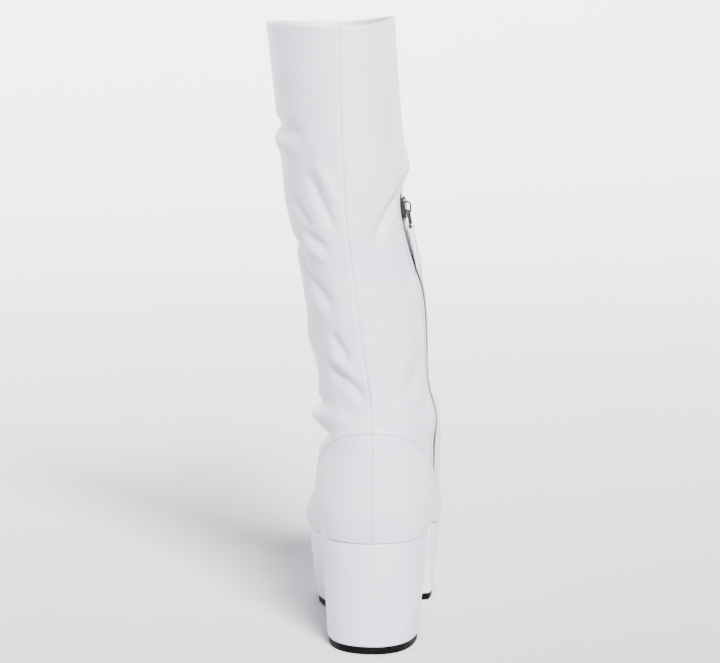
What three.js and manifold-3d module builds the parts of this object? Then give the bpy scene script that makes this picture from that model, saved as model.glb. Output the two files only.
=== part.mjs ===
// Platform mid-calf boot for the left foot, in smooth leather, with a block heel and an inside zip.
// Millimetres, +Z up, toe towards -Y, outer side of the foot towards +X, standing on Z = 0.
// "Along" is the distance forward from the heel's rearmost point, so y is -along before centring.
import * as THREE from "three";
import { mergeVertices } from "three/addons/utils/BufferGeometryUtils.js";
import Module from "manifold-3d";

const { lerp, smoothstep, clamp } = THREE.MathUtils;
const wasm = await Module();
wasm.setup();

// Foot
const footLength = 250;
const ballWidth = 93;
const heelWidth = 75;
// Heights above the floor
const heelHeight = 72;
const platformHeight = 52;
const toeRise = 6;
const toeSpring = 11;
const collarHeight = 388;
const collarFrontRise = 3;
const collarOuterRise = 1.5;
const collarInnerRise = 5;
// Shaft
const collarWidth = 80;
const collarDepth = 129;
const shaftLean = 27;
const wall = 1.9;
const counterStep = 0.8;
const counterHeight = 74;
const counterLength = 64;
const counterArch = 1.15;
// Sole
const seatEnd = 50;
const treadStart = 150;
const springStart = 185;
const obliqueness = 0.46;
const outsoleThickness = 4.2;
const outsoleInset = 0.9;
const insoleThickness = 3;
const waistThickness = 3;
const platformStart = 117;
const platformStartSlant = 15;
const platformTaper = { outer: 5.6, inner: 4.2, toe: 7, back: 0 };
const edgeRound = 1.3;
// Heel
const heelDepth = 63;
const heelTaper = { outer: 3.6, inner: 5.8, toe: 0, back: 3 };
const heelBreastSlant = 5;
const topPieceThickness = 4.4;
// Zip
const zipAlong = 56;
const zipTopAlong = 45;
const zipBend = 205;
const zipTop = 286;
const zipFoot = 102;
const zipSlotWidth = 9.6;
const zipTapeWidth = 20;
const zipTapeThickness = 0.8;
const zipCoilWidth = 6;
const zipCoilRise = 0.4;
const zipCoilThickness = 2.1;
const zipStep = 7;
const zipTapeEnd = 6;
const zipCoilEnd = 1;
// Slider
const sliderLength = 14;
const sliderWidth = 9.4;
const sliderPlate = 1.3;
const sliderLift = 1.2;
const sliderFlange = 0.55;
const bridgeWidth = 2.2;
const bridgeLength = 8;
const bridgeHeight = 3.6;
const bridgeBar = 1.1;
// Pull
const linkLength = 12;
const linkWidth = 7.4;
const linkRod = 1.3;
const tabLength = 32;
const tabWidth = 8.8;
const tabShoulder = 6.2;
const tabThickness = 2.2;
const tabPoint = 6;
const tabClearance = 3.2;
// Fit
const gap = 0.3;
const cutRoom = 4;
const runningGap = 0.35;
const insoleGap = 0.6;

// Sections of the foot. back and front are shares of the foot length, backUp and frontUp shares of the
// height from sole to collar, heel half-widths shares of the heel width, the others of the ball width,
// swing the toe's sideways place in ball widths. follow is how much the section keeps the sole's wave,
// peak the share of its length where both end roundings meet, and a higher rounding is squarer.
const footSections = [
  {
    back: 0.016, backUp: 0, front: 0.988, frontUp: 0, heelOut: 0.48, heelIn: 0.44, waistOut: 0.415,
    waistIn: 0.273, ballOut: 0.574, ballIn: 0.383, toeOut: 0.473, swing: -0.097, follow: 1, peak: 0.36,
    roundBack: 5, roundFront: 4.7,
  },
  {
    back: 0.005, backUp: 0.032, front: 1, frontUp: 0.024, heelOut: 0.5, heelIn: 0.47, waistOut: 0.447,
    waistIn: 0.316, ballOut: 0.598, ballIn: 0.399, toeOut: 0.489, swing: -0.097, follow: 0.95,
    peak: 0.36, roundBack: 5, roundFront: 4.7,
  },
  {
    back: 0, backUp: 0.063, front: 0.986, frontUp: 0.054, heelOut: 0.519, heelIn: 0.481,
    waistOut: 0.453, waistIn: 0.348, ballOut: 0.558, ballIn: 0.394, toeOut: 0.462, swing: -0.095,
    follow: 0.85, peak: 0.36, roundBack: 4.8, roundFront: 4.2,
  },
  {
    back: 0, backUp: 0.089, front: 0.944, frontUp: 0.081, heelOut: 0.513, heelIn: 0.481,
    waistOut: 0.443, waistIn: 0.374, ballOut: 0.498, ballIn: 0.396, toeOut: 0.43, swing: -0.085,
    follow: 0.7, peak: 0.37, roundBack: 4.6, roundFront: 3.6,
  },
  {
    back: 0.003, backUp: 0.114, front: 0.852, frontUp: 0.111, heelOut: 0.501, heelIn: 0.475,
    waistOut: 0.431, waistIn: 0.397, ballOut: 0.48, ballIn: 0.41, toeOut: 0.43, swing: -0.07,
    follow: 0.5, peak: 0.39, roundBack: 4.2, roundFront: 3,
  },
  {
    back: 0.008, backUp: 0.146, front: 0.744, frontUp: 0.147, heelOut: 0.484, heelIn: 0.463,
    waistOut: 0.419, waistIn: 0.409, ballOut: 0.458, ballIn: 0.426, toeOut: 0.44, swing: -0.054,
    follow: 0.32, peak: 0.42, roundBack: 3.6, roundFront: 2.5,
  },
  {
    back: 0.016, backUp: 0.184, front: 0.644, frontUp: 0.198, heelOut: 0.468, heelIn: 0.452,
    waistOut: 0.388, waistIn: 0.413, ballOut: 0.43, ballIn: 0.438, toeOut: 0.43, swing: -0.043,
    follow: 0.16, peak: 0.45, roundBack: 3, roundFront: 2.3,
  },
];

// Sections of the leg, ankle to collar. back is a share of the foot length, depth of the collar depth,
// out and in of the collar width, backUp and frontUp of the height from sole to collar, backLean and
// frontLean of the shaft's lean to the outside.
const legSections = [
  {
    back: 0.026, backUp: 0.231, depth: 1.027, frontUp: 0.264, out: 0.485, in: 0.484, backLean: 0.02,
    frontLean: -0.07, roundBack: 2.6, roundFront: 2.1,
  },
  {
    back: 0.034, backUp: 0.294, depth: 0.903, frontUp: 0.348, out: 0.444, in: 0.438, backLean: 0.07,
    frontLean: 0, roundBack: 2.3, roundFront: 2,
  },
  {
    back: 0.034, backUp: 0.373, depth: 0.857, frontUp: 0.432, out: 0.456, in: 0.475, backLean: 0.24,
    frontLean: 0.11, roundBack: 2.1, roundFront: 2,
  },
  {
    back: 0.028, backUp: 0.462, depth: 0.853, frontUp: 0.523, out: 0.459, in: 0.484, backLean: 0.37,
    frontLean: 0.26, roundBack: 2.1, roundFront: 2,
  },
  {
    back: 0.018, backUp: 0.557, depth: 0.857, frontUp: 0.613, out: 0.471, in: 0.446, backLean: 0.5,
    frontLean: 0.46, roundBack: 2.1, roundFront: 2,
  },
  {
    back: 0.008, backUp: 0.642, depth: 0.872, frontUp: 0.691, out: 0.498, in: 0.433, backLean: 0.62,
    frontLean: 0.63, roundBack: 2.1, roundFront: 2,
  },
  {
    back: 0, backUp: 0.722, depth: 0.891, frontUp: 0.76, out: 0.511, in: 0.481, backLean: 0.66,
    frontLean: 0.7, roundBack: 2.1, roundFront: 2,
  },
  {
    back: -0.008, backUp: 0.778, depth: 0.92, frontUp: 0.805, out: 0.52, in: 0.464, backLean: 0.7,
    frontLean: 0.77, roundBack: 2.1, roundFront: 2,
  },
  {
    back: -0.018, backUp: 0.864, depth: 0.957, frontUp: 0.883, out: 0.523, in: 0.458, backLean: 0.73,
    frontLean: 0.89, roundBack: 2.1, roundFront: 2,
  },
  {
    back: -0.032, backUp: 1, depth: 1, frontUp: 1, out: 0.559, in: 0.444, backLean: 0.74, frontLean: 1,
    roundBack: 2.1, roundFront: 2,
  },
];

// Places along a section, as shares of its length, where the half-widths above are reached.
const outerStations = [0.16, 0.4, 0.6, 0.9];
const innerStations = [0.16, 0.42, 0.66, 0.9];
const ringsPerSection = 2;
const columnsPerSide = 26;
const stationsPerSide = 24;

const toeTop = platformHeight + toeRise;
const collarFront = collarHeight + collarFrontRise;
const heights = (row) => ({
  backHeight: lerp(heelHeight, collarHeight, row.backUp),
  frontHeight: lerp(toeTop, collarFront, row.frontUp),
});

const ofBall = (share) => share * ballWidth;

// The two tables in millimetres, sole to collar
const sections = [
  ...footSections.map((row) => ({
    ...row,
    ...heights(row),
    start: row.back * footLength,
    end: row.front * footLength,
    outer: [row.heelOut * heelWidth, ...[row.waistOut, row.ballOut, row.toeOut].map(ofBall)],
    inner: [row.heelIn * heelWidth, ...[row.waistIn, row.ballIn, row.ballIn].map(ofBall)],
    backSide: 0,
    frontSide: row.swing * ballWidth,
  })),
  ...legSections.map((row) => ({
    ...row,
    ...heights(row),
    start: row.back * footLength,
    end: row.back * footLength + row.depth * collarDepth,
    outer: outerStations.map(() => row.out * collarWidth),
    inner: innerStations.map(() => row.in * collarWidth),
    backSide: row.backLean * shaftLean,
    frontSide: row.frontLean * shaftLean,
    follow: 0,
    peak: 0.5,
  })),
];
const topSection = sections.length - 1;

// A value between the sections, on a smooth curve through the four nearest
function between(place, read) {
  const first = clamp(Math.floor(place), 0, topSection - 1);
  const t = place - first;
  const [a, b, c, d] = [-1, 0, 1, 2].map((step) => read(sections[clamp(first + step, 0, topSection)]));
  return b + 0.5 * t * (c - a + t * (2 * a - 5 * b + 4 * c - d + t * (3 * (b - c) + d - a)));
}

// The widths at the stations, joined by smooth steps
function widthAt(share, stations, widths) {
  let width = widths[0];
  for (let i = 1; i < stations.length; i += 1) {
    width += (widths[i] - widths[i - 1]) * smoothstep(share, stations[i - 1], stations[i]);
  }
  return width;
}

// The ball line runs oblique, further forward on the inner side
const oblique = (along, x) => {
  const fade = smoothstep(along, heelDepth, 2 * heelDepth) * smoothstep(footLength - along, 0, 60);
  return along + obliqueness * x * fade;
};
const seatAt = (place) =>
  lerp(heelHeight, platformHeight, smoothstep(place, seatEnd, treadStart)) +
  toeRise * clamp((place - treadStart) / (footLength - treadStart), 0, 1) ** 2;
const groundAt = (place) => toeSpring * clamp((place - springStart) / (footLength - springStart), 0, 1) ** 2;

// A point of the leather's outer face. place runs from 0 at the sole to topSection at the collar, turn
// from 0 at the back round the outer side to pi at the front and on round the inner side.
function leather(place, turn) {
  const read = (name) => between(place, (row) => row[name]);
  const list = (name, stations) => stations.map((_, i) => between(place, (row) => row[name][i]));
  const share = (1 - Math.cos(turn)) / 2;
  const peak = read("peak");
  const towardsBack = share < peak;
  const past = towardsBack ? 1 - share / peak : (share - peak) / (1 - peak);
  const fullness = Math.sqrt(Math.max(0, 1 - past ** read(towardsBack ? "roundBack" : "roundFront")));
  const outside = Math.sin(turn) >= 0;
  const half = outside
    ? widthAt(share, outerStations, list("outer", outerStations))
    : -widthAt(share, innerStations, list("inner", innerStations));
  const x = lerp(read("backSide"), read("frontSide"), share) + half * fullness;
  const along = lerp(read("start"), read("end"), share);
  const wave = seatAt(oblique(along, x)) - lerp(heelHeight, toeTop, share);
  const sideRise = (outside ? collarOuterRise : collarInnerRise) * Math.sin(turn) ** 2;
  const z =
    lerp(read("backHeight"), read("frontHeight"), share) +
    read("follow") * wave +
    smoothstep(place, topSection - 2, topSection) * sideRise;
  return new THREE.Vector3(x, -along, z);
}

// Directions on the leather: round the leg, up the leg and outward
function directions(place, turn) {
  const low = clamp(place - 0.04, 0, topSection);
  const high = clamp(place + 0.04, 0, topSection);
  const round = leather(place, turn + 0.01).sub(leather(place, turn - 0.01));
  const up = leather(high, turn).sub(leather(low, turn)).normalize();
  const perTurn = round.length() / 0.02;
  const outward = up.clone().cross(round).normalize();
  return { perTurn, up, outward };
}

// A point under the leather's outer face, or over it where depth is negative. The lowest ring stays on
// the sole.
function skin(place, turn, depth) {
  const point = leather(place, turn);
  const { outward } = directions(place, turn);
  if (place === 0) {
    outward.setZ(0).normalize();
  }
  point.addScaledVector(outward, -depth);
  if (place === 0) {
    point.z = seatAt(oblique(-point.y, point.x));
  }
  return point;
}

// Mesh from loops of equal length. Ends are closed across, or the last loop joins the first.
function fromLoops(loops, joined = false) {
  const size = loops[0].length;
  const positions = loops.flat().flatMap((point) => point.toArray());
  const index = [];
  const rings = joined ? loops.length : loops.length - 1;
  for (let ring = 0; ring < rings; ring += 1) {
    for (let i = 0; i < size; i += 1) {
      const a = ring * size + i;
      const b = ring * size + ((i + 1) % size);
      const c = ((ring + 1) % loops.length) * size + ((i + 1) % size);
      const d = ((ring + 1) % loops.length) * size + i;
      index.push(a, c, b, a, d, c);
    }
  }
  if (!joined) {
    const last = (loops.length - 1) * size;
    for (let i = 0; i < size / 2 - 1; i += 1) {
      const [a, b, c, d] = [i, i + 1, size - 2 - i, size - 1 - i];
      index.push(a, b, c, a, c, d, last + a, last + c, last + b, last + a, last + d, last + c);
    }
  }
  const geometry = new THREE.BufferGeometry();
  geometry.setAttribute("position", new THREE.Float32BufferAttribute(positions, 3));
  geometry.setIndex(index);
  return geometry;
}

function toManifold(geometry) {
  const bare = geometry.clone();
  bare.deleteAttribute("normal");
  bare.deleteAttribute("uv");
  const merged = mergeVertices(bare, 1e-5);
  const { Mesh, Manifold } = wasm;
  return new Manifold(new Mesh({
    numProp: 3,
    vertProperties: new Float32Array(merged.attributes.position.array),
    triVerts: new Uint32Array(merged.index.array),
  }));
}

function fromManifold(solid) {
  const { vertProperties, triVerts } = solid.getMesh();
  const geometry = new THREE.BufferGeometry();
  geometry.setAttribute("position", new THREE.Float32BufferAttribute(vertProperties, 3));
  geometry.setIndex(new THREE.Uint32BufferAttribute(triVerts, 1));
  return geometry;
}

// Upper
const ringTurns = Array.from(
  { length: 2 * columnsPerSide },
  (_, i) => ((i + 0.5) * Math.PI) / columnsPerSide,
);
const sleeve = (rings, outerDepth, innerDepth) => {
  const places = Array.from({ length: rings + 1 }, (_, i) => i / ringsPerSection);
  const face = (depth) => places.map((place) => ringTurns.map((turn) => skin(place, turn, depth)));
  return fromLoops([...face(outerDepth), ...face(innerDepth).reverse()], true);
};

// The heel counter lies on the upper, under an arch from the back down to the sole at the sides
function counterShape() {
  const outline = new THREE.Shape();
  const behind = heelWidth / 4;
  const under = heelHeight / 2;
  outline.moveTo(behind, under);
  outline.lineTo(behind, heelHeight + counterHeight);
  const steps = 14;
  for (let i = 0; i <= steps; i += 1) {
    const share = i / steps;
    const height = counterHeight * Math.sqrt(1 - share ** counterArch);
    outline.lineTo(-share * counterLength, heelHeight + height);
  }
  outline.lineTo(-counterLength, under);
  const depth = 2 * ballWidth;
  const block = new THREE.ExtrudeGeometry(outline, { depth, bevelEnabled: false });
  block.translate(0, 0, -depth / 2);
  // shape x is y, shape y is z
  const axes = new THREE.Matrix4().makeBasis(
    new THREE.Vector3(0, 1, 0),
    new THREE.Vector3(0, 0, 1),
    new THREE.Vector3(1, 0, 0),
  );
  return block.applyMatrix4(axes);
}

// Zip line up the inner side: it bends back a little above zipBend and is straight at the slider
function zipAlongAt(place) {
  const height = between(place, (row) => row.backHeight);
  return lerp(zipAlong, zipTopAlong, smoothstep(height, zipBend, zipTop - 2 * sliderLength));
}

// A point of the inner side at a distance along the foot, moved across it and under the leather
function innerPoint(place, along, across, depth) {
  const share = (along - between(place, (row) => row.start)) /
    (between(place, (row) => row.end) - between(place, (row) => row.start));
  const turn = 2 * Math.PI - Math.acos(1 - 2 * share);
  return skin(place, turn + across / directions(place, turn).perTurn, depth);
}

const zipPoint = (place, across, depth) => innerPoint(place, zipAlongAt(place), across, depth);

function zipPlaceAt(height) {
  let low = 0.1;
  let high = topSection;
  for (let i = 0; i < 30; i += 1) {
    const middle = (low + high) / 2;
    if (zipPoint(middle, 0, 0).z < height) {
      low = middle;
    } else {
      high = middle;
    }
  }
  return low;
}

// A strip along the zip line between two heights and two depths
function zipStrip(bottom, top, width, nearDepth, farDepth) {
  const from = zipPlaceAt(bottom);
  const to = zipPlaceAt(top);
  const steps = Math.ceil((top - bottom) / zipStep);
  const columns = [-0.5, 0, 0.5];
  const loops = Array.from({ length: steps + 1 }, (_, i) => {
    const place = lerp(from, to, i / steps);
    const row = (depth) => columns.map((share) => zipPoint(place, share * width, depth));
    return [...row(nearDepth), ...row(farDepth).reverse()];
  });
  return fromLoops(loops);
}

const counterRings = 9 * ringsPerSection;
const counterLayer = toManifold(sleeve(counterRings, -counterStep, wall / 2));
const counter = counterLayer.intersect(toManifold(counterShape()));
const zipSlot = toManifold(zipStrip(zipFoot, zipTop, zipSlotWidth, -cutRoom, wall + cutRoom / 2));
const upper = toManifold(sleeve(topSection * ringsPerSection, 0, wall)).add(counter).subtract(zipSlot);

// The foot's outline on the sole, drawn in by a different amount on each side
function footOutline(inset) {
  const count = 120;
  const side = (first) =>
    Array.from({ length: count + 1 }, (_, i) => {
      const turn = first === 0 ? (i * Math.PI) / count : 2 * Math.PI - (i * Math.PI) / count;
      const point = leather(0, turn);
      const tangent = leather(0, turn + 0.01).sub(leather(0, turn - 0.01)).setZ(0).normalize();
      const outward = new THREE.Vector3(-tangent.y, tangent.x, 0);
      const sideways = outward.x > 0 ? inset.outer : inset.inner;
      const lengthways = outward.y > 0 ? inset.back : inset.toe;
      point.addScaledVector(outward, -(sideways * outward.x ** 2 + lengthways * outward.y ** 2));
      return { place: oblique(-point.y, point.x), x: point.x, y: point.y };
    });
  return { outer: side(0), inner: side(1) };
}

function pointAt(side, place) {
  const next = side.findIndex((point) => point.place > place);
  if (next < 1) {
    return next < 0 ? side[side.length - 1] : side[0];
  }
  const before = side[next - 1];
  const after = side[next];
  const t = (place - before.place) / (after.place - before.place);
  return { x: lerp(before.x, after.x, t), y: lerp(before.y, after.y, t) };
}

// One level of a sole piece from the place "from" to the place "to"; without them it runs to the
// rounded end of the outline.
function soleLoop({ inset, from, to, height }) {
  const outline = footOutline(inset);
  const count = stationsPerSide;
  const first = from ?? outline.outer[0].place;
  const last = to ?? outline.outer[outline.outer.length - 1].place;
  const shares = Array.from({ length: count }, (_, i) => {
    if (from === undefined && to === undefined) {
      return (1 - Math.cos(((i + 0.5) * Math.PI) / count)) / 2;
    }
    if (from === undefined) {
      return 1 - Math.cos(((i + 0.5) * Math.PI) / (2 * count - 1));
    }
    return to === undefined ? Math.sin((i * Math.PI) / (2 * count - 1)) : i / (count - 1);
  });
  const along = (side) =>
    shares.map((share) => {
      const place = lerp(first, last, share);
      const { x, y } = pointAt(side, place);
      return new THREE.Vector3(x, y, height(place));
    });
  return [...along(outline.outer), ...along(outline.inner).reverse()];
}

const evenInset = (inset) => ({ outer: inset, inner: inset, toe: inset, back: inset });
const tapered = (taper, share, extra) => ({
  outer: taper.outer * share + extra,
  inner: taper.inner * share + extra,
  toe: taper.toe * share + extra,
  back: taper.back * share + extra,
});
const levels = [0, 0.03, 0.35, 0.65, 0.97, 1];
const roundedEdge = (level) => (level === 0 || level === 1 ? edgeRound : 0);

const seatBelow = (drop) => (place) => seatAt(place) - drop;
const insole = fromLoops(
  [0, insoleThickness].map((rise) =>
    soleLoop({ inset: evenInset(wall + insoleGap), height: seatBelow(-rise) })),
);
const outsoleTop = outsoleThickness;
const platform = fromLoops(
  levels.map((level) =>
    soleLoop({
      inset: tapered(platformTaper, 1 - level, roundedEdge(level)),
      from: platformStart + platformStartSlant * (1 - level) + roundedEdge(level),
      height: (place) => lerp(groundAt(place) + outsoleTop + gap, seatAt(place) - gap, level),
    })),
);
const outsole = fromLoops(
  [0, outsoleTop].map((rise) =>
    soleLoop({
      inset: tapered(platformTaper, 1, outsoleInset),
      from: platformStart + platformStartSlant + outsoleInset,
      height: (place) => groundAt(place) + rise,
    })),
);
const waist = fromLoops(
  [waistThickness + gap, gap].map((drop) =>
    soleLoop({
      inset: evenInset(gap),
      from: heelDepth + gap,
      to: platformStart - gap,
      height: seatBelow(drop),
    })),
);
const heel = fromLoops(
  levels.map((level) =>
    soleLoop({
      inset: tapered(heelTaper, 1 - level, roundedEdge(level)),
      to: heelDepth - heelBreastSlant * (1 - level) - roundedEdge(level),
      height: (place) => lerp(topPieceThickness + gap, seatAt(place) - gap, level),
    })),
);
const topPiece = fromLoops(
  [0, topPieceThickness].map((rise) =>
    soleLoop({
      inset: tapered(heelTaper, 1, outsoleInset),
      to: heelDepth - heelBreastSlant - outsoleInset,
      height: () => rise,
    })),
);

// Zip
const zipTape = zipStrip(
  zipFoot - zipTapeEnd,
  zipTop + zipTapeEnd,
  zipTapeWidth,
  wall + gap,
  wall + gap + zipTapeThickness,
);
const zipCoil = zipStrip(
  zipFoot + zipCoilEnd,
  zipTop - zipCoilEnd,
  zipCoilWidth,
  -zipCoilRise,
  zipCoilThickness - zipCoilRise,
);

// A box from corner to corner in the slider's own axes: across, up the zip, outward
function box(low, high) {
  const size = high.map((value, i) => value - low[i]);
  const geometry = new THREE.BoxGeometry(...size);
  return geometry.translate(...low.map((value, i) => value + size[i] / 2));
}

const sliderPlace = zipPlaceAt(zipTop - sliderLength / 2 - 2);
const sliderSeat = zipPoint(sliderPlace, 0, 0);
const sliderUp = zipPoint(sliderPlace + 0.2, 0, 0).sub(zipPoint(sliderPlace - 0.2, 0, 0)).normalize();
const sliderAcross = zipPoint(sliderPlace, -1, 0).sub(zipPoint(sliderPlace, 1, 0)).normalize();
const sliderOut = sliderAcross.clone().cross(sliderUp).normalize();
sliderAcross.crossVectors(sliderUp, sliderOut);
const sliderAxes = new THREE.Matrix4().makeBasis(sliderAcross, sliderUp, sliderOut).setPosition(sliderSeat);

const plateTop = sliderLift + sliderPlate;
const half = { length: sliderLength / 2, width: sliderWidth / 2 };
const flangeInner = zipCoilWidth / 2 + gap / 2;
const flanges = [-1, 1].map((side) => {
  const edges = [side * flangeInner, side * (flangeInner + sliderFlange)].sort((a, b) => a - b);
  return toManifold(box([edges[0], 1 - half.length, -0.6], [edges[1], half.length - 1, sliderLift + 0.1]));
});
const bridge = toManifold(
  box(
    [-bridgeWidth / 2, -bridgeLength / 2, plateTop - 0.1],
    [bridgeWidth / 2, bridgeLength / 2, plateTop + bridgeHeight],
  ),
).subtract(toManifold(
  box(
    [-bridgeWidth, -bridgeLength / 2 + bridgeBar, plateTop],
    [bridgeWidth, bridgeLength / 2 - bridgeBar, plateTop + bridgeHeight - bridgeBar],
  ),
));
const slider = toManifold(box([-half.width, -half.length, sliderLift], [half.width, half.length, plateTop]))
  .add(bridge)
  .add(flanges[0])
  .add(flanges[1]);

// The pull hangs straight down from the slider's bridge and lies along the leather below it
const rodRoom = linkRod / 2 + runningGap;
const linkPivot = new THREE.Vector3(0, -bridgeLength / 2 + bridgeBar + rodRoom, plateTop + rodRoom)
  .applyMatrix4(sliderAxes);
const pullReach = linkLength + tabLength;
const tipPlace = zipPlaceAt(linkPivot.z - pullReach);
const pullTip = innerPoint(tipPlace, -linkPivot.y, 0, -tabClearance);
const pullUp = linkPivot.clone().sub(pullTip).normalize();
const pullOut = sliderAcross.clone().cross(pullUp).normalize();
const pullAcross = pullUp.clone().cross(pullOut);
const linkAxes = new THREE.Matrix4().makeBasis(pullAcross, pullUp, pullOut).setPosition(linkPivot);
const linkReach = linkLength - linkRod;
const tabPivot = linkPivot.clone().addScaledVector(pullUp, -linkReach);
const tabAxes = linkAxes.clone().setPosition(tabPivot);

// A closed ring of rod, bent to a rounded rectangle
function ringOfRod() {
  const halfWidth = (linkWidth - linkRod) / 2;
  const corner = 1.1;
  const sides = 8;
  const centres = [
    [halfWidth - corner, -corner, 0],
    [-halfWidth + corner, -corner, 1],
    [-halfWidth + corner, -linkReach + corner, 2],
    [halfWidth - corner, -linkReach + corner, 3],
  ];
  const loops = centres.flatMap(([x, y, quarter]) =>
    [0, 1, 2, 3].map((step) => {
      const angle = ((quarter + step / 3) * Math.PI) / 2;
      const radial = new THREE.Vector3(Math.cos(angle), Math.sin(angle), 0);
      const centre = new THREE.Vector3(x, y, 0).addScaledVector(radial, corner);
      return Array.from({ length: sides }, (_, i) => {
        const round = (2 * Math.PI * (i + 0.5)) / sides;
        return centre
          .clone()
          .addScaledVector(radial, Math.cos(round) * (linkRod / 2))
          .add(new THREE.Vector3(0, 0, Math.sin(round) * (linkRod / 2)));
      });
    }));
  return fromLoops(loops, true);
}

// The strap folds round the link's lower bar and ends in a point
function tabSolid() {
  const eyeRadius = rodRoom;
  const eyeWall = 0.9;
  const eyeWidth = linkWidth - 2 * linkRod - 2 * runningGap;
  const neckEnd = -(rodRoom + 0.6);
  const outline = [
    [eyeWidth / 2, 0],
    [eyeWidth / 2, neckEnd],
    [tabShoulder / 2, neckEnd - 1.2],
    [tabWidth / 2, -tabLength + tabPoint],
    [0, -tabLength],
  ];
  const shape = new THREE.Shape();
  outline.forEach(([x, y]) => shape.lineTo(x, y));
  outline.slice(0, -1).reverse().forEach(([x, y]) => shape.lineTo(-x, y));
  const strap = new THREE.ExtrudeGeometry(shape, { depth: tabThickness, bevelEnabled: false })
    .translate(0, 0, -tabThickness / 2);
  const bar = (radius, length) =>
    toManifold(new THREE.CylinderGeometry(radius, radius, length, 16).rotateZ(Math.PI / 2));
  return toManifold(strap)
    .add(bar(eyeRadius + eyeWall, eyeWidth))
    .subtract(bar(eyeRadius, 2 * eyeWidth));
}

// Materials
const leatherWhite = { color: 0xf2f3f4, roughness: 0.42, metalness: 0 };
const rubberBlack = { color: 0x1b1b1c, roughness: 0.75, metalness: 0 };
const boardBlack = { color: 0x2a2a2b, roughness: 0.8, metalness: 0 };
const insoleTan = { color: 0xd9d4cb, roughness: 0.7, metalness: 0 };
const tapeWhite = { color: 0xdcdce0, roughness: 0.9, metalness: 0 };
const coilGrey = { color: 0xb9b9bf, roughness: 0.5, metalness: 0 };
const nickel = { color: 0x77736e, roughness: 0.3, metalness: 1 };

const pieces = [
  ["upper", fromManifold(upper), leatherWhite],
  ["insole", insole, insoleTan],
  ["platform", platform, leatherWhite],
  ["outsole", outsole, rubberBlack],
  ["waist", waist, boardBlack],
  ["heel", heel, leatherWhite],
  ["heel_top_piece", topPiece, rubberBlack],
  ["zip_tape", zipTape, tapeWhite],
  ["zip_coil", zipCoil, coilGrey],
  ["zip_slider", fromManifold(slider).applyMatrix4(sliderAxes), nickel],
  ["zip_link", ringOfRod().applyMatrix4(linkAxes), nickel],
  ["zip_tab", fromManifold(tabSolid()).applyMatrix4(tabAxes), leatherWhite],
];

const boot = new THREE.Group();
boot.name = "boot";
for (const [name, geometry, look] of pieces) {
  geometry.computeVertexNormals();
  const mesh = new THREE.Mesh(geometry, new THREE.MeshStandardMaterial(look));
  mesh.name = name;
  mesh.material.name = name;
  boot.add(mesh);
}

// Centre on the floor
const bounds = new THREE.Box3().setFromObject(boot);
const centre = bounds.getCenter(new THREE.Vector3());
for (const mesh of boot.children) {
  mesh.geometry.translate(-centre.x, -centre.y, -bounds.min.z);
}

export default boot;
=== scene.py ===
# Platform mid-calf boot in smooth white leather, left foot, seen from behind.
# Shapes are worked out in millimetres from the heel's back, then moved into the frame's metres.
import math
import bmesh
import bpy
import numpy as np
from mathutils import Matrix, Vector


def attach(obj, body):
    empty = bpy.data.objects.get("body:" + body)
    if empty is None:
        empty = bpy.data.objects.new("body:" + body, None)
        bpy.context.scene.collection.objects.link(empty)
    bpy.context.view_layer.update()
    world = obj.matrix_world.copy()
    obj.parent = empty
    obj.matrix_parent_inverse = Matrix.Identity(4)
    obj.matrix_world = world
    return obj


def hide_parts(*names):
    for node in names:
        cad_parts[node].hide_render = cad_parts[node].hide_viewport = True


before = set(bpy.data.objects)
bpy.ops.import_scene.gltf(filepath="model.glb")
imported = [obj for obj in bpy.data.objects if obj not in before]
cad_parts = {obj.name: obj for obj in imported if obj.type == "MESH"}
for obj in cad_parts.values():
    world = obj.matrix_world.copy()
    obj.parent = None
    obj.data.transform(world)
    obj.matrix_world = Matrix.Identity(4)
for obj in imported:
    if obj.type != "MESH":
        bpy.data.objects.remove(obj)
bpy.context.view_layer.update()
print("frame loaded")

boot = {
    "shift": (-12.936, 120.945, 0.0),     # from the heel's back to the frame's origin
    "footLength": 250.0,
    "ballWidth": 93.0,
    "heelWidth": 75.0,
    "heelHeight": 72.0,
    "platformHeight": 52.0,
    "collarHeight": 388.0,
    "collarFrontRise": 3.0,
    "collarOuterRise": 1.5,
    "collarInnerRise": 5.0,
    "collarWidth": 80.0,
    "collarDepth": 129.0,
    "shaftLean": 27.0,
    "toeRise": 6.0,
    "toeSpring": 11.0,
    "seatEnd": 50.0,
    "treadStart": 150.0,
    "springStart": 185.0,
    "obliqueness": 0.46,
    "toeFade": 60.0,                      # the oblique ball line runs out over this length before the toe
    "heelDepth": 63.0,
    "wall": 1.9,
    "liningGap": 0.35,
    "reliefRadius": 50.0,                 # how many millimetres one radian round the leg counts for
}

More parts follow.
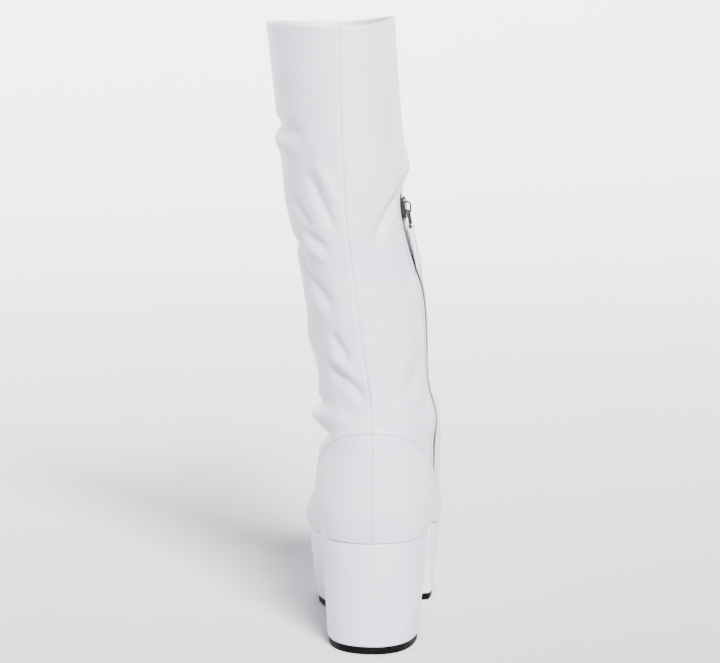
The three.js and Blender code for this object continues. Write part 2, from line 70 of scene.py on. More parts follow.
# Sections of the foot, one number for each. back and front are shares of the foot length, backUp and
# frontUp of the height from sole to collar, heel half widths of the heel width, the others of the ball width
footSections = {
    "back": [0.016, 0.005, 0, 0, 0.003, 0.008, 0.016],
    "backUp": [0, 0.032, 0.063, 0.089, 0.114, 0.146, 0.184],
    "front": [0.988, 1, 0.986, 0.944, 0.852, 0.744, 0.644],
    "frontUp": [0, 0.024, 0.054, 0.081, 0.111, 0.147, 0.198],
    "heelOut": [0.48, 0.5, 0.519, 0.513, 0.501, 0.484, 0.468],
    "heelIn": [0.44, 0.47, 0.481, 0.481, 0.475, 0.463, 0.452],
    "waistOut": [0.415, 0.447, 0.453, 0.443, 0.431, 0.419, 0.388],
    "waistIn": [0.273, 0.316, 0.348, 0.374, 0.397, 0.409, 0.413],
    "ballOut": [0.574, 0.598, 0.558, 0.498, 0.48, 0.458, 0.43],
    "ballIn": [0.383, 0.399, 0.394, 0.396, 0.41, 0.426, 0.438],
    "toeOut": [0.473, 0.489, 0.462, 0.43, 0.43, 0.44, 0.43],
    "swing": [-0.097, -0.097, -0.095, -0.085, -0.07, -0.054, -0.043],
    "follow": [1, 0.95, 0.85, 0.7, 0.5, 0.32, 0.16],
    "peak": [0.36, 0.36, 0.36, 0.37, 0.39, 0.42, 0.45],
    "roundBack": [5, 5, 4.8, 4.6, 4.2, 3.6, 3],
    "roundFront": [4.7, 4.7, 4.2, 3.6, 3, 2.5, 2.3],
}

# Sections of the leg: depth is a share of the collar's depth, out and in of its width, the leans of the
# shaft's lean to the outside
legSections = {
    "back": [0.026, 0.034, 0.034, 0.028, 0.018, 0.008, 0, -0.008, -0.018, -0.032],
    "backUp": [0.231, 0.294, 0.373, 0.462, 0.557, 0.642, 0.722, 0.778, 0.864, 1],
    "depth": [1.027, 0.903, 0.857, 0.853, 0.857, 0.872, 0.891, 0.92, 0.957, 1],
    "frontUp": [0.264, 0.348, 0.432, 0.523, 0.613, 0.691, 0.76, 0.805, 0.883, 1],
    "out": [0.485, 0.444, 0.456, 0.459, 0.471, 0.498, 0.511, 0.52, 0.523, 0.559],
    "in": [0.484, 0.438, 0.475, 0.484, 0.446, 0.433, 0.481, 0.464, 0.458, 0.444],
    "backLean": [0.02, 0.07, 0.24, 0.37, 0.5, 0.62, 0.66, 0.7, 0.73, 0.74],
    "frontLean": [-0.07, 0, 0.11, 0.26, 0.46, 0.63, 0.7, 0.77, 0.89, 1],
    "roundBack": [2.6, 2.3, 2.1, 2.1, 2.1, 2.1, 2.1, 2.1, 2.1, 2.1],
    "roundFront": [2.1, 2, 2, 2, 2, 2, 2, 2, 2, 2],
}


# Both tables in millimetres, in one column of numbers for each name
def sectionColumns():
    foot = {name: np.array(values, float) for name, values in footSections.items()}
    leg = {name: np.array(values, float) for name, values in legSections.items()}
    toeTop = boot["platformHeight"] + boot["toeRise"]

    def both(name):
        return np.concatenate([foot[name], leg[name]])

    start = both("back") * boot["footLength"]
    legStart = start[len(foot["back"]):]
    columns = {
        "start": start,
        "end": np.concatenate([foot["front"] * boot["footLength"],
                               legStart + leg["depth"] * boot["collarDepth"]]),
        "backHeight": mix(boot["heelHeight"], boot["collarHeight"], both("backUp")),
        "frontHeight": mix(toeTop, boot["collarHeight"] + boot["collarFrontRise"], both("frontUp")),
        "backSide": np.concatenate([0 * foot["back"], leg["backLean"] * boot["shaftLean"]]),
        "frontSide": np.concatenate([foot["swing"] * boot["ballWidth"],
                                     leg["frontLean"] * boot["shaftLean"]]),
        "follow": np.concatenate([foot["follow"], 0 * leg["back"]]),
        "peak": np.concatenate([foot["peak"], 0 * leg["back"] + 0.5]),
        "roundBack": both("roundBack"),
        "roundFront": both("roundFront"),
    }
    outer = {"heelOut": "heelWidth", "waistOut": "ballWidth", "ballOut": "ballWidth", "toeOut": "ballWidth"}
    inner = {"heelIn": "heelWidth", "waistIn": "ballWidth", "ballIn": "ballWidth"}
    for widths, side in ((outer, "out"), (inner, "in")):
        for name, size in widths.items():
            columns[name] = np.concatenate([foot[name] * boot[size], leg[side] * boot["collarWidth"]])
    return columns


# Places along a section, as shares of its length, and the half widths that are reached there
outerStations = {0.16: "heelOut", 0.4: "waistOut", 0.6: "ballOut", 0.9: "toeOut"}
innerStations = {0.16: "heelIn", 0.42: "waistIn", 0.66: "ballIn", 0.9: "ballIn"}


# a + (b - a) * share
def mix(a, b, share):
    return a + (b - a) * share


# 3t^2 - 2t^3 of the share of the way from low to high, held at both ends
def smooth(value, low, high):
    t = np.clip((value - low) / (high - low), 0, 1)
    return t * t * (3 - 2 * t)


sections = sectionColumns()
topSection = len(sections["start"]) - 1


# A column of the sections between its rows, on the cubic through the four nearest
def between(place, name):
    column = sections[name]
    first = np.clip(np.floor(place).astype(int), 0, topSection - 1)
    t = place - first
    a, b, c, d = (column[np.clip(first + step, 0, topSection)] for step in (-1, 0, 1, 2))
    return b + 0.5 * t * (c - a + t * (2 * a - 5 * b + 4 * c - d + t * (3 * (b - c) + d - a)))


# The half widths at the stations, joined by smooth steps
def widthAt(place, share, stations):
    reachedAt = list(stations)
    widths = [between(place, name) for name in stations.values()]
    width = widths[0]
    for i in range(1, len(widths)):
        width = width + (widths[i] - widths[i - 1]) * smooth(share, reachedAt[i - 1], reachedAt[i])
    return width


# Distance along the foot, further forward on the inner side because the ball line runs oblique
def oblique(along, x):
    behindBall = smooth(along, boot["heelDepth"], 2 * boot["heelDepth"])
    beforeToe = smooth(boot["footLength"] - along, 0, boot["toeFade"])
    return along + boot["obliqueness"] * x * (behindBall * beforeToe)


# Height of the sole's upper side: a smooth step from heel to ball, then a parabola up to the toe
def seatAt(place):
    rise = np.clip((place - boot["treadStart"]) / (boot["footLength"] - boot["treadStart"]), 0, 1) ** 2
    step = smooth(place, boot["seatEnd"], boot["treadStart"])
    return mix(boot["heelHeight"], boot["platformHeight"], step) + boot["toeRise"] * rise


# Height of the ground side: flat, then a parabola up to the toe
def groundAt(place):
    return boot["toeSpring"] * np.clip(
        (place - boot["springStart"]) / (boot["footLength"] - boot["springStart"]), 0, 1) ** 2


# The unworn leather: x is the middle line plus a half width times sqrt(1 - past^n), y runs back to
# front as (1 - cos turn) / 2, z goes straight from the back height to the front height plus the sole's wave
def leather(place, turn):
    place, turn = np.broadcast_arrays(np.asarray(place, float), np.asarray(turn, float))
    share = (1 - np.cos(turn)) / 2
    peak = between(place, "peak")
    towardsBack = share < peak
    past = np.where(towardsBack, 1 - share / peak, (share - peak) / (1 - peak))
    power = np.where(towardsBack, between(place, "roundBack"), between(place, "roundFront"))
    fullness = np.sqrt(np.maximum(0, 1 - np.clip(past, 0, 1) ** power))
    side = np.sin(turn)
    half = np.where(side >= 0, widthAt(place, share, outerStations), -widthAt(place, share, innerStations))
    x = mix(between(place, "backSide"), between(place, "frontSide"), share) + half * fullness
    along = mix(between(place, "start"), between(place, "end"), share)
    toeTop = boot["platformHeight"] + boot["toeRise"]
    wave = seatAt(oblique(along, x)) - mix(boot["heelHeight"], toeTop, share)
    z = mix(between(place, "backHeight"), between(place, "frontHeight"), share)
    z = z + between(place, "follow") * wave
    sideRise = np.where(side >= 0, boot["collarOuterRise"], boot["collarInnerRise"]) * side ** 2
    z = z + smooth(place, topSection - 2, topSection) * sideRise
    return np.stack([x, -along, z], -1)


def unit(vectors):
    return vectors / np.maximum(np.linalg.norm(vectors, axis=-1, keepdims=True), 1e-9)


# Outward direction: the way up the leg crossed with the way round it
def outwardAt(surface, place, turn):
    up = surface(np.minimum(place + 0.04, topSection), turn) - surface(np.maximum(place - 0.04, 0), turn)
    around = surface(place, turn + 0.01) - surface(place, turn - 0.01)
    return unit(np.cross(up, around))


# Folds, one by one: how far the crest stands out (a trough is negative), its half width, and its path as
# (degrees round the leg from the back, outer side positive; height above the floor), in millimetres
folds = {
    "outerNotch": (-2.7, 4.4, [(118, 331), (96, 329), (73, 328), (58, 327), (44, 325), (28, 322)]),
    "outerShelf": (1.7, 6.0, [(125, 318), (90, 320), (64, 319), (45, 316), (32, 311)]),
    "innerFold": (-2.4, 4.2, [(-100, 292), (-71, 290), (-60, 283), (-50, 277), (-41, 271), (-30, 261),
                              (-20, 246)]),
    "innerBulge": (1.6, 8.0, [(-112, 303), (-82, 300), (-59, 295), (-45, 287), (-34, 276)]),
    "calfTroughA": (-1.9, 4.0, [(36, 304), (30, 297), (23, 287), (13, 271), (8, 262)]),
    "calfRidgeA": (1.3, 4.0, [(25, 311), (19, 302), (12, 293), (5, 280)]),
    "calfTroughB": (-1.4, 4.0, [(58, 288), (47, 279), (38, 272), (30, 264)]),
    "calfTroughC": (-1.5, 3.6, [(50, 266), (43, 264), (29, 258), (17, 252)]),
    "calfRidgeC": (1.3, 4.0, [(48, 256), (36, 253), (28, 250), (17, 246)]),
    "outerStep": (-2.0, 3.6, [(112, 258), (88, 256), (64, 254), (52, 249), (41, 244)]),
    "calfTroughD": (-1.8, 5.0, [(64, 244), (54, 240), (42, 233), (30, 223), (22, 214)]),
    "calfRidgeD": (1.4, 6.0, [(55, 227), (46, 221), (35, 215), (25, 207)]),
    "ankleTroughE": (-1.7, 4.6, [(33, 203), (26, 196), (20, 190), (13, 182)]),
    "ankleRidgeE": (1.3, 4.6, [(38, 191), (30, 186), (20, 180), (11, 175)]),
    "ankleTroughF": (-2.2, 4.6, [(48, 183), (37, 179), (22, 172), (10, 165), (3, 155)]),
    "ankleSoftF": (-0.9, 4.6, [(32, 158), (20, 153), (10, 149)]),
    "ankleRoll": (2.3, 4.2, [(165, 142), (140, 140), (112, 140), (96, 141), (80, 144), (66, 146), (46, 148),
                             (12, 149)]),
    "underRoll": (-4.6, 4.4, [(168, 126), (140, 123), (112, 122), (97, 124), (82, 129), (66, 133), (44, 138),
                              (24, 141)]),
    "aboveRoll": (-3.0, 3.6, [(155, 153), (130, 151), (100, 150), (84, 152), (74, 153), (50, 156),
                              (30, 157)]),
    "innerRidge": (1.3, 8.0, [(-58, 213), (-47, 199), (-36, 183), (-24, 167)]),
    "innerAnkle": (1.1, 6.0, [(-62, 166), (-45, 162), (-29, 156), (-17, 150)]),
    "innerHollow": (-1.2, 6.0, [(-64, 187), (-52, 176), (-38, 163), (-28, 153)]),
    "innerLow": (-0.8, 5.2, [(-120, 158), (-90, 161), (-70, 158), (-52, 150), (-38, 143)]),
    "innerRoll": (1.0, 6.5, [(-130, 147), (-100, 148), (-74, 146), (-55, 139)]),
    "fineA": (-0.5, 1.9, [(10, 289), (-2, 287), (-18, 282)]),
    "fineB": (-0.4, 1.7, [(12, 282), (0, 280), (-12, 277)]),
    "fineC": (-0.5, 2.0, [(2, 205), (-8, 200), (-20, 197)]),
    "bendTroughA": (-2.4, 5.0, [(128, 170), (150, 178), (180, 182), (212, 178), (236, 168)]),
    "bendRollA": (2.2, 6.5, [(132, 188), (155, 193), (182, 197), (210, 192), (232, 184)]),
    "bendTroughB": (-1.9, 5.0, [(124, 205), (150, 211), (180, 214), (214, 208), (240, 196)]),
    "bendTroughC": (-1.4, 5.0, [(146, 149), (165, 156), (180, 158), (202, 154), (222, 146)]),
    "bendRollC": (1.4, 6.0, [(140, 164), (160, 169), (180, 170), (205, 166), (224, 158)]),
    "shinTroughA": (-1.7, 5.5, [(104, 244), (130, 256), (158, 262), (186, 258)]),
    "shinTroughB": (-1.6, 5.5, [(158, 292), (184, 300), (212, 304), (240, 300), (258, 293)]),
    "shinRidgeB": (1.5, 7.0, [(150, 308), (180, 316), (214, 318), (246, 312)]),
    "shinTroughC": (-1.3, 5.0, [(116, 305), (138, 314), (160, 322), (178, 328)]),
    "sideDrag": (-1.4, 6.0, [(72, 208), (92, 216), (116, 228), (138, 236)]),
    "sideRidge": (1.2, 7.0, [(66, 190), (88, 196), (112, 208), (132, 216)]),
    "innerSideDrag": (-1.3, 6.0, [(-84, 214), (-100, 222), (-122, 234), (-140, 240)]),
}
foldStrength = 1.25                       # all heights above are multiplied by this


# Each fold is a bell across its path, height * exp(-(distance / width)^2), eased out at both ends
def foldHeight(turn, z):
    degrees = np.degrees(turn)
    total = np.zeros(np.shape(z))
    for height, width, path in folds.values():
        points = np.array(path, float)
        middle = points[:, 0].mean()
        around = (degrees - middle + 180) % 360 - 180 + middle
        scale = math.radians(1) * boot["reliefRadius"]
        px, pz = around * scale, z
        qx, qz = points[:, 0] * scale, points[:, 1]
        lengths = np.hypot(np.diff(qx), np.diff(qz))
        reached = np.concatenate([[0], np.cumsum(lengths)])
        nearest = np.full(px.shape, 1e9)
        along = np.zeros(px.shape)
        for i, length in enumerate(lengths):
            dx, dz = (qx[i + 1] - qx[i]) / length, (qz[i + 1] - qz[i]) / length
            t = np.clip((px - qx[i]) * dx + (pz - qz[i]) * dz, 0, length)
            distance = np.hypot(px - qx[i] - t * dx, pz - qz[i] - t * dz)
            closer = distance < nearest
            nearest = np.where(closer, distance, nearest)
            along = np.where(closer, (reached[i] + t) / reached[-1], along)
        ends = smooth(along, 0, 0.3) * smooth(1 - along, 0, 0.3)
        total += height * ends * np.exp(-(nearest / width) ** 2)
    return foldStrength * total


# Millimetres of leather in one radian round the leg
def reach(place, turn):
    return np.linalg.norm(leather(place, turn + 0.01) - leather(place, turn - 0.01), axis=-1) / 0.02


reachTable = np.linspace(0, topSection, 200)


# The same at the back and at the front of the leg, read from a table of places
def backReach(place):
    return np.interp(place, reachTable, reach(reachTable, 0 * reachTable))


def frontReach(place):
    return np.interp(place, reachTable, reach(reachTable, 0 * reachTable + math.pi))


seams = {"depth": 0.55, "width": 0.8, "puff": 0.25, "puffAt": 2.4, "puffWidth": 1.6,
         "stitchFrom": 74.0, "stitchTo": 174.0}


# A seam is a narrow furrow with a soft swelling on both sides
def seamHeight(distance):
    furrow = -seams["depth"] * np.exp(-(distance / seams["width"]) ** 2)
    return furrow + seams["puff"] * np.exp(-((np.abs(distance) - seams["puffAt"]) / seams["puffWidth"]) ** 2)


zipLine = {
    "along": 56.0,
    "topAlong": 45.0,
    "bend": 205.0,
    "straightFrom": 258.0,
    "top": 286.0,
    "foot": 102.0,
    "slot": 9.6,
    "depth": 1.5,
    "calm": 0.85,                         # share of a fold that the stiff tape keeps flat
    "calmWidth": 12.0,
}


# Turn at which the inner side of the leather is at a distance from the heel's back
def innerTurn(place, along):
    start, end = between(place, "start"), between(place, "end")
    return 2 * math.pi - np.arccos(1 - 2 * (along - start) / (end - start))


# The zip's line, bent back a little towards its top
def zipTurn(place):
    bent = smooth(between(place, "backHeight"), zipLine["bend"], zipLine["straightFrom"])
    return innerTurn(place, mix(zipLine["along"], zipLine["topAlong"], bent))


# How much the zip's tape keeps the leather flat: a bell across the zip line, from its foot to its top
def zipCalm(place, turn, z):
    across = ((turn - zipTurn(place) + math.pi) % (2 * math.pi) - math.pi) * boot["reliefRadius"]
    upTo = smooth(-z, -zipLine["top"] - 16, -zipLine["top"] - 4)
    within = smooth(z, zipLine["foot"] - 14, zipLine["foot"]) * upTo
    return zipLine["calm"] * within * np.exp(-(across / zipLine["calmWidth"]) ** 2)


# What time and gravity add to the leather: folds, the seams at back and front, and slow waves
def relief(place, turn, z):
    around = (turn + math.pi) % (2 * math.pi) - math.pi
    above = smooth(place, 0, 1.2)
    total = foldHeight(turn, z) * smooth(place, 2.5, 6) * (1 - zipCalm(place, turn, z))
    stitched = smooth(z, 150, 176) * 0.75 + 0.25
    total += seamHeight(around * backReach(place)) * above * stitched
    fromFront = (turn % (2 * math.pi)) - math.pi
    total += seamHeight(fromFront * frontReach(place)) * smooth(place, 7, 8.5)
    waves = 0.35 * np.sin(2.1 * turn + z / 21) + 0.3 * np.sin(3.3 * turn - z / 15 + 1.3)
    total += waves * smooth(place, 6, 9) * smooth(topSection - place, 0, 2.5)
    return total


# The leather with its relief, lifted off its own face by the given millimetres
def skin(place, turn, lift=0.0):
    place, turn = np.broadcast_arrays(np.asarray(place, float), np.asarray(turn, float))
    base = leather(place, turn)
    outward = outwardAt(leather, place, turn)
    low = place < 1e-6
    flat = unit(outward * [1, 1, 0])
    outward = np.where(low[..., None], flat, outward)
    height = relief(place, turn, base[..., 2]) + lift
    points = base + outward * np.asarray(height)[..., None]
    points[..., 2] = np.where(low, base[..., 2], points[..., 2])
    return points


# Quads between neighbours of a grid; closed joins the last column to the first, looped the last row
def gridFaces(rows, columns, closed=False, looped=False):
    numbers = np.arange(rows * columns).reshape(rows, columns)
    if closed:
        numbers = np.concatenate([numbers, numbers[:, :1]], 1)
    if looped:
        numbers = np.concatenate([numbers, numbers[:1]], 0)
    quads = np.stack([numbers[:-1, :-1], numbers[:-1, 1:], numbers[1:, 1:], numbers[1:, :-1]], -1)
    return quads.reshape(-1, 4)


# A mesh object in the frame's metres from points in millimetres and faces as lists of numbers. Doubled
# points are joined and the faces turned outward, but for grids that are right from the start
def makePiece(name, points, faces, material, body="boot", tidyNormals=True):
    places = (np.asarray(points, float).reshape(-1, 3) + boot["shift"]) / 1000
    mesh = bpy.data.meshes.new(name)
    mesh.from_pydata(places.tolist(), [], [list(map(int, face)) for face in faces])
    if tidyNormals:
        work = bmesh.new()
        work.from_mesh(mesh)
        bmesh.ops.remove_doubles(work, verts=work.verts, dist=1e-7)
        bmesh.ops.recalc_face_normals(work, faces=work.faces)
        work.to_mesh(mesh)
        work.free()
    mesh.polygons.foreach_set("use_smooth", np.full(len(mesh.polygons), True))
    mesh.materials.append(material)
    piece = bpy.data.objects.new(name, mesh)
    bpy.context.collection.objects.link(piece)
    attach(piece, body)
    return piece


def softenEdges(piece, width):
    bevel = piece.modifiers.new("soft edges", "BEVEL")
    bevel.width = width / 1000
    bevel.segments = 3
    bevel.limit_method = "ANGLE"
    bevel.angle_limit = math.radians(50)
    bevel.harden_normals = True


# One shader value that can be used in ordinary sums
class Value:
    def __init__(self, shader, socket):
        self.shader = shader
        self.socket = socket

    def math(self, operation, *others, clamp=False):
        node = self.shader.tree.nodes.new("ShaderNodeMath")
        node.operation = operation
        node.use_clamp = clamp
        for socket, value in zip(node.inputs, (self, *others)):
            self.shader.feed(socket, value)
        return Value(self.shader, node.outputs[0])

    def __add__(self, other):
        return self.math("ADD", other)

    def __radd__(self, other):
        return self.math("ADD", other)

    def __sub__(self, other):
        return self.math("SUBTRACT", other)

    def __mul__(self, other):
        return self.math("MULTIPLY", other)


# A material's node tree with a Principled shader
class Shader:
    def __init__(self, name, **constants):
        self.material = bpy.data.materials.new(name)
        self.material.use_nodes = True
        self.tree = self.material.node_tree
        self.surface = self.tree.nodes["Principled BSDF"]
        for socket, value in constants.items():
            self.surface.inputs[socket.replace("_", " ")].default_value = value

    def feed(self, socket, value):
        if isinstance(value, Value):
            self.tree.links.new(value.socket, socket)
        else:
            socket.default_value = value

    def node(self, kind, settings=None, output=0, **inputs):
        node = self.tree.nodes.new("ShaderNode" + kind)
        for name, value in (settings or {}).items():
            setattr(node, name, value)
        for name, value in inputs.items():
            self.feed(node.inputs[name.replace("_", " ")], value)
        return Value(self, node.outputs[output])

    def coordinates(self):
        return self.node("TexCoord", output="Object")

    def noise(self, scale, detail=3.0, vector=None):
        return self.node("TexNoise", Vector=vector or self.coordinates(), Scale=scale, Detail=detail)

    def mixColour(self, factor, first, second):
        node = self.tree.nodes.new("ShaderNodeMix")
        node.data_type = "RGBA"
        self.feed(node.inputs[0], factor)
        self.feed(node.inputs[6], first)
        self.feed(node.inputs[7], second)
        return Value(self, node.outputs[2])

    def set(self, **inputs):
        for name, value in inputs.items():
            self.feed(self.surface.inputs[name.replace("_", " ")], value)
        return self.material

    def bump(self, height, strength, distance):
        return self.node("Bump", Height=height, Strength=strength, Distance=distance)


# Object coordinates drawn out along the axes, for lines instead of grains
def stretched(shader, scale):
    return shader.node("Mapping", Vector=shader.coordinates(), Scale=scale)


leatherLook = {"colour": (0.66, 0.67, 0.74, 1), "shade": (0.58, 0.595, 0.69, 1),
               "roughness": 0.36, "coat": 0.18}
coverLook = {**leatherLook, "roughness": 0.33}
liningLook = {"colour": (0.70, 0.70, 0.71, 1), "shade": (0.62, 0.62, 0.64, 1),
              "roughness": 0.62, "coat": 0.0}
insoleLook = {"colour": (0.66, 0.63, 0.58, 1), "shade": (0.58, 0.55, 0.5, 1),
              "roughness": 0.6, "coat": 0.0}


# Smooth nappa: tiny pebbles from cell noise, faint pull lines, slow changes of colour and gloss
def leatherMaterial(name, look, grain=1.0):
    shader = Shader(name, Specular_IOR_Level=0.5, Coat_Weight=look["coat"], Coat_Roughness=0.28)
    cells = shader.node("TexVoronoi", {"feature": "SMOOTH_F1"}, Vector=shader.coordinates(), Scale=1150.0)
    cloud = shader.noise(34.0, 4.0)
    fine = shader.noise(520.0, 4.0)
    lines = shader.noise(1.0, 5.0, stretched(shader, (260.0, 260.0, 620.0)))
    height = cells * 0.45 + fine * 0.35 + lines * 0.5
    normal = shader.bump(height, 0.16 * grain, 0.0006)
    blotch = cloud.math("SUBTRACT", 0.42).math("MULTIPLY", 2.2, clamp=True)
    return shader.set(
        Base_Color=shader.mixColour(blotch, look["colour"], look["shade"]),
        Roughness=look["roughness"] + (cloud - 0.5) * 0.16 + (fine - 0.5) * 0.1,
        Normal=normal,
    )


rubberLook = {"colour": (0.0012, 0.0012, 0.0014, 1), "dust": (0.005, 0.005, 0.0055, 1), "roughness": 0.6}
waistLook = {"colour": (0.01, 0.01, 0.011, 1), "dust": (0.03, 0.03, 0.032, 1), "roughness": 0.5}
coilLook = {"colour": (0.10, 0.102, 0.092, 1), "dust": (0.15, 0.153, 0.14, 1), "roughness": 0.4}


# Rubber: nearly black, dusted in patches, with a fine moulded tooth
def rubberMaterial(name, look):
    shader = Shader(name, Specular_IOR_Level=0.07)
    cloud = shader.noise(60.0, 5.0)
    tooth = shader.noise(1400.0, 2.0)
    dusty = (cloud - 0.5).math("MULTIPLY", 2.5, clamp=True)
    return shader.set(
        Base_Color=shader.mixColour(dusty, look["colour"], look["dust"]),
        Roughness=look["roughness"] + (cloud - 0.5) * 0.3,
        Normal=shader.bump(tooth * 0.6 + cloud * 0.4, 0.25, 0.0004),
    )


nickelLook = {"colour": (0.055, 0.052, 0.05, 1), "bright": (0.12, 0.114, 0.11, 1), "roughness": 0.2}


# Metal plated dark nickel: fine scratches in the gloss
def nickelMaterial(name, look):
    shader = Shader(name, Metallic=1.0)
    scratches = shader.noise(1.0, 5.0, stretched(shader, (2500.0, 900.0, 300.0)))
    cloud = shader.noise(300.0, 3.0)
    return shader.set(
        Base_Color=shader.mixColour(cloud, look["colour"], look["bright"]),
        Roughness=look["roughness"] + scratches * 0.22,
        Normal=shader.bump(scratches, 0.1, 0.0002),
    )


tapeLook = {"colour": (0.17, 0.175, 0.155, 1), "shade": (0.10, 0.104, 0.092, 1), "pitch": 0.7}
# The thread is white; both its colours are painted grey, a painted shade that stands in for the dark stitch
# holes and the shade between the stitches
paintedShadeThreadLook = {"colour": (0.36, 0.36, 0.39, 1), "shade": (0.22, 0.22, 0.25, 1), "pitch": 0.35}


# Woven tape: two crossed waves, whose pitch is in millimetres
def fabricMaterial(name, look):
    shader = Shader(name, Specular_IOR_Level=0.25)
    scale = 1000 / look["pitch"] / 6.28
    warp = shader.node("TexWave", {"bands_direction": "Y"}, Vector=shader.coordinates(), Scale=scale)
    weft = shader.node("TexWave", {"bands_direction": "Z"}, Vector=shader.coordinates(), Scale=scale)
    weave = warp * weft
    fuzz = shader.noise(2200.0, 2.0)
    return shader.set(
        Base_Color=shader.mixColour(weave * 0.6 + fuzz * 0.4, look["shade"], look["colour"]),
        Roughness=0.82 + (fuzz - 0.5) * 0.2,
        Normal=shader.bump(weave * 0.7 + fuzz * 0.3, 0.4, 0.0003),
    )


whiteLeather = leatherMaterial("white leather", leatherLook)
coverLeather = leatherMaterial("cover leather", coverLook, 0.8)
liningLeather = leatherMaterial("lining leather", liningLook, 1.6)
insoleLeather = leatherMaterial("insole leather", insoleLook, 1.4)
rubber = rubberMaterial("black rubber", rubberLook)
waistBoard = rubberMaterial("black waist leather", waistLook)
nickel = nickelMaterial("dark nickel", nickelLook)
tapeFabric = fabricMaterial("zip tape fabric", tapeLook)
# White thread whose grey colour is painted shade around the stitches
thread = fabricMaterial("white thread with painted shade", paintedShadeThreadLook)
coilPlastic = rubberMaterial("coil plastic", coilLook)
print("materials made")


# Points on the zip line, moved across it and lifted off the leather
def zipPoint(place, across, lift=0.0):
    turn = zipTurn(place)
    return skin(place, turn + across / reach(place, turn), lift)


zipTable = np.linspace(1, 14, 400)
zipHeights = leather(zipTable, zipTurn(zipTable))[:, 2]


def zipPlaceAt(height):
    return np.interp(height, zipHeights, zipTable)


# Rows about evenly far apart on the leather, measured at the back and at the front
def rowPlaces(spacing):
    table = np.linspace(0, topSection, 801)
    steps = [np.linalg.norm(np.diff(leather(table, turn), axis=0), axis=-1) for turn in (0.0, 1.6, math.pi)]
    length = np.concatenate([[0], np.cumsum(np.maximum.reduce(steps))])
    count = int(length[-1] / spacing)
    return np.interp(np.linspace(0, length[-1], count), length, table)


upperMesh = {
    "rowSpacing": 1.75,
    "zipFine": (-10, -9.1, -8.7, -8.4, -8.1, -7.6, -6.6, -5.8, -5.3, -5.05, -4.85, -4.65, -4.4, -2.2,
                0, 2.2, 4.4, 4.65, 4.85, 5.05, 5.3, 5.8, 6.6, 7.6, 8.1, 8.4, 8.7, 9.1, 10),
    "seamFine": (-4.5, -3.2, -2.3, -1.6, -1.1, -0.7, -0.35, 0, 0.35, 0.7, 1.1, 1.6, 2.3, 3.2, 4.5),
    "zipToBack": 34,
    "backToFront": 92,
    "frontToZip": 62,
    "collarThickness": 2.2,
}


# Turns of each row: fine steps over the zip, the back seam and the front seam, even steps between
def rowTurns(place):
    zipAt = zipTurn(place)
    stops = [(zipAt, "zipFine", zipAt), (np.full_like(zipAt, 2 * math.pi), "seamFine", 0 * zipAt),
             (np.full_like(zipAt, 3 * math.pi), "seamFine", 0 * zipAt + math.pi)]
    fine = [at[:, None] + np.array(upperMesh[steps]) / reach(place, where)[:, None]
            for at, steps, where in stops]
    parts = []
    after = fine[1:] + [fine[0] + 2 * math.pi]
    for block, following, count in zip(fine, after, ("zipToBack", "backToFront", "frontToZip")):
        shares = np.arange(1, upperMesh[count] + 1) / (upperMesh[count] + 1)
        parts += [block, mix(block[:, -1:], following[:, :1], shares[None, :])]
    return np.concatenate(parts, 1)


zipRows = {"lip": 0.35, "lipPlace": 5.7, "lipWidth": 1.1, "stitchPlace": 8.4, "stitchFurrow": 0.22,
           "furrowWidth": 0.6, "endStep": 0.8}


# The slot is a step down to the tape; its edges swell a little and a furrow runs along the stitches
def zipSlotHeight(place, turn, z):
    across = np.abs((turn - zipTurn(place)) * reach(place, turn))
    step = zipRows["endStep"]
    aboveFoot = smooth(z, zipLine["foot"] - step, zipLine["foot"] + step)
    underTop = smooth(-z, -zipLine["top"] - step, -zipLine["top"] + step)
    slot = -zipLine["depth"] * (1 - smooth(across, zipLine["slot"] / 2 - 0.15, zipLine["slot"] / 2 + 0.1))
    lip = zipRows["lip"] * np.exp(-((across - zipRows["lipPlace"]) / zipRows["lipWidth"]) ** 2)
    fromStitch = (across - zipRows["stitchPlace"]) / zipRows["furrowWidth"]
    furrow = -zipRows["stitchFurrow"] * np.exp(-fromStitch ** 2)
    return aboveFoot * underTop * (slot + lip + furrow)


# Upper: rows of the leather from the sole to the collar, over the rolled edge and a little way inside
def makeUpper():
    places = rowPlaces(upperMesh["rowSpacing"])
    turns = rowTurns(places)
    place = np.broadcast_to(places[:, None], turns.shape)
    lift = zipSlotHeight(place, turns, leather(place, turns)[..., 2])
    outside = skin(place, turns, lift)
    radius = upperMesh["collarThickness"] / 2
    edge = []
    for angle in np.radians([25, 55, 90, 125, 155, 180]):
        row = skin(place[-1], turns[-1], -radius * (1 - math.cos(angle)))
        edge.append(row + [0, 0, radius * math.sin(angle)])
    inside = [skin(place[-1] - drop, turns[-1], -2 * radius) for drop in (0.04, 0.12)]
    underside = skin(place[0], turns[0], -boot["wall"])
    grid = np.concatenate([underside[None], outside, np.array(edge), np.array(inside)])
    faces = gridFaces(*grid.shape[:2], closed=True)
    upper = makePiece("upper_leather", grid, faces, whiteLeather, tidyNormals=False)
    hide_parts("upper")


# Lining: the same leather seen from inside, a little further in than the wall
def makeLining():
    places = np.linspace(topSection - 0.03, 0, 110)
    turns = np.linspace(0, 2 * math.pi, 120, endpoint=False)
    place, turn = np.meshgrid(places, turns, indexing="ij")
    grid = skin(place, turn, -boot["wall"] - boot["liningGap"])
    faces = gridFaces(*grid.shape[:2], closed=True)
    lining = makePiece("lining", grid, faces, liningLeather, tidyNormals=False)


counter = {
    "height": 74.0,
    "length": 64.0,
    "power": 1.15,
    "thickness": 0.8,
    "edgeRound": 0.95,
    "tuck": 0.3,                          # the edge starts so far inside the leather
    "startAt": 6.0,                       # distances from the heel's back at which its top line is read,
    "seamAt": 5.0,                        # for its edge and for the back seam's stitches
    "stitchClear": 0.5,
    "stitchInset": 2.0,
    "columns": 170,
    "rows": 46,
    "edgeRows": (0, 0.05, 0.25, 0.55, 0.95, 1.5, 2.2, 3.0, 4.0, 5.5),
}


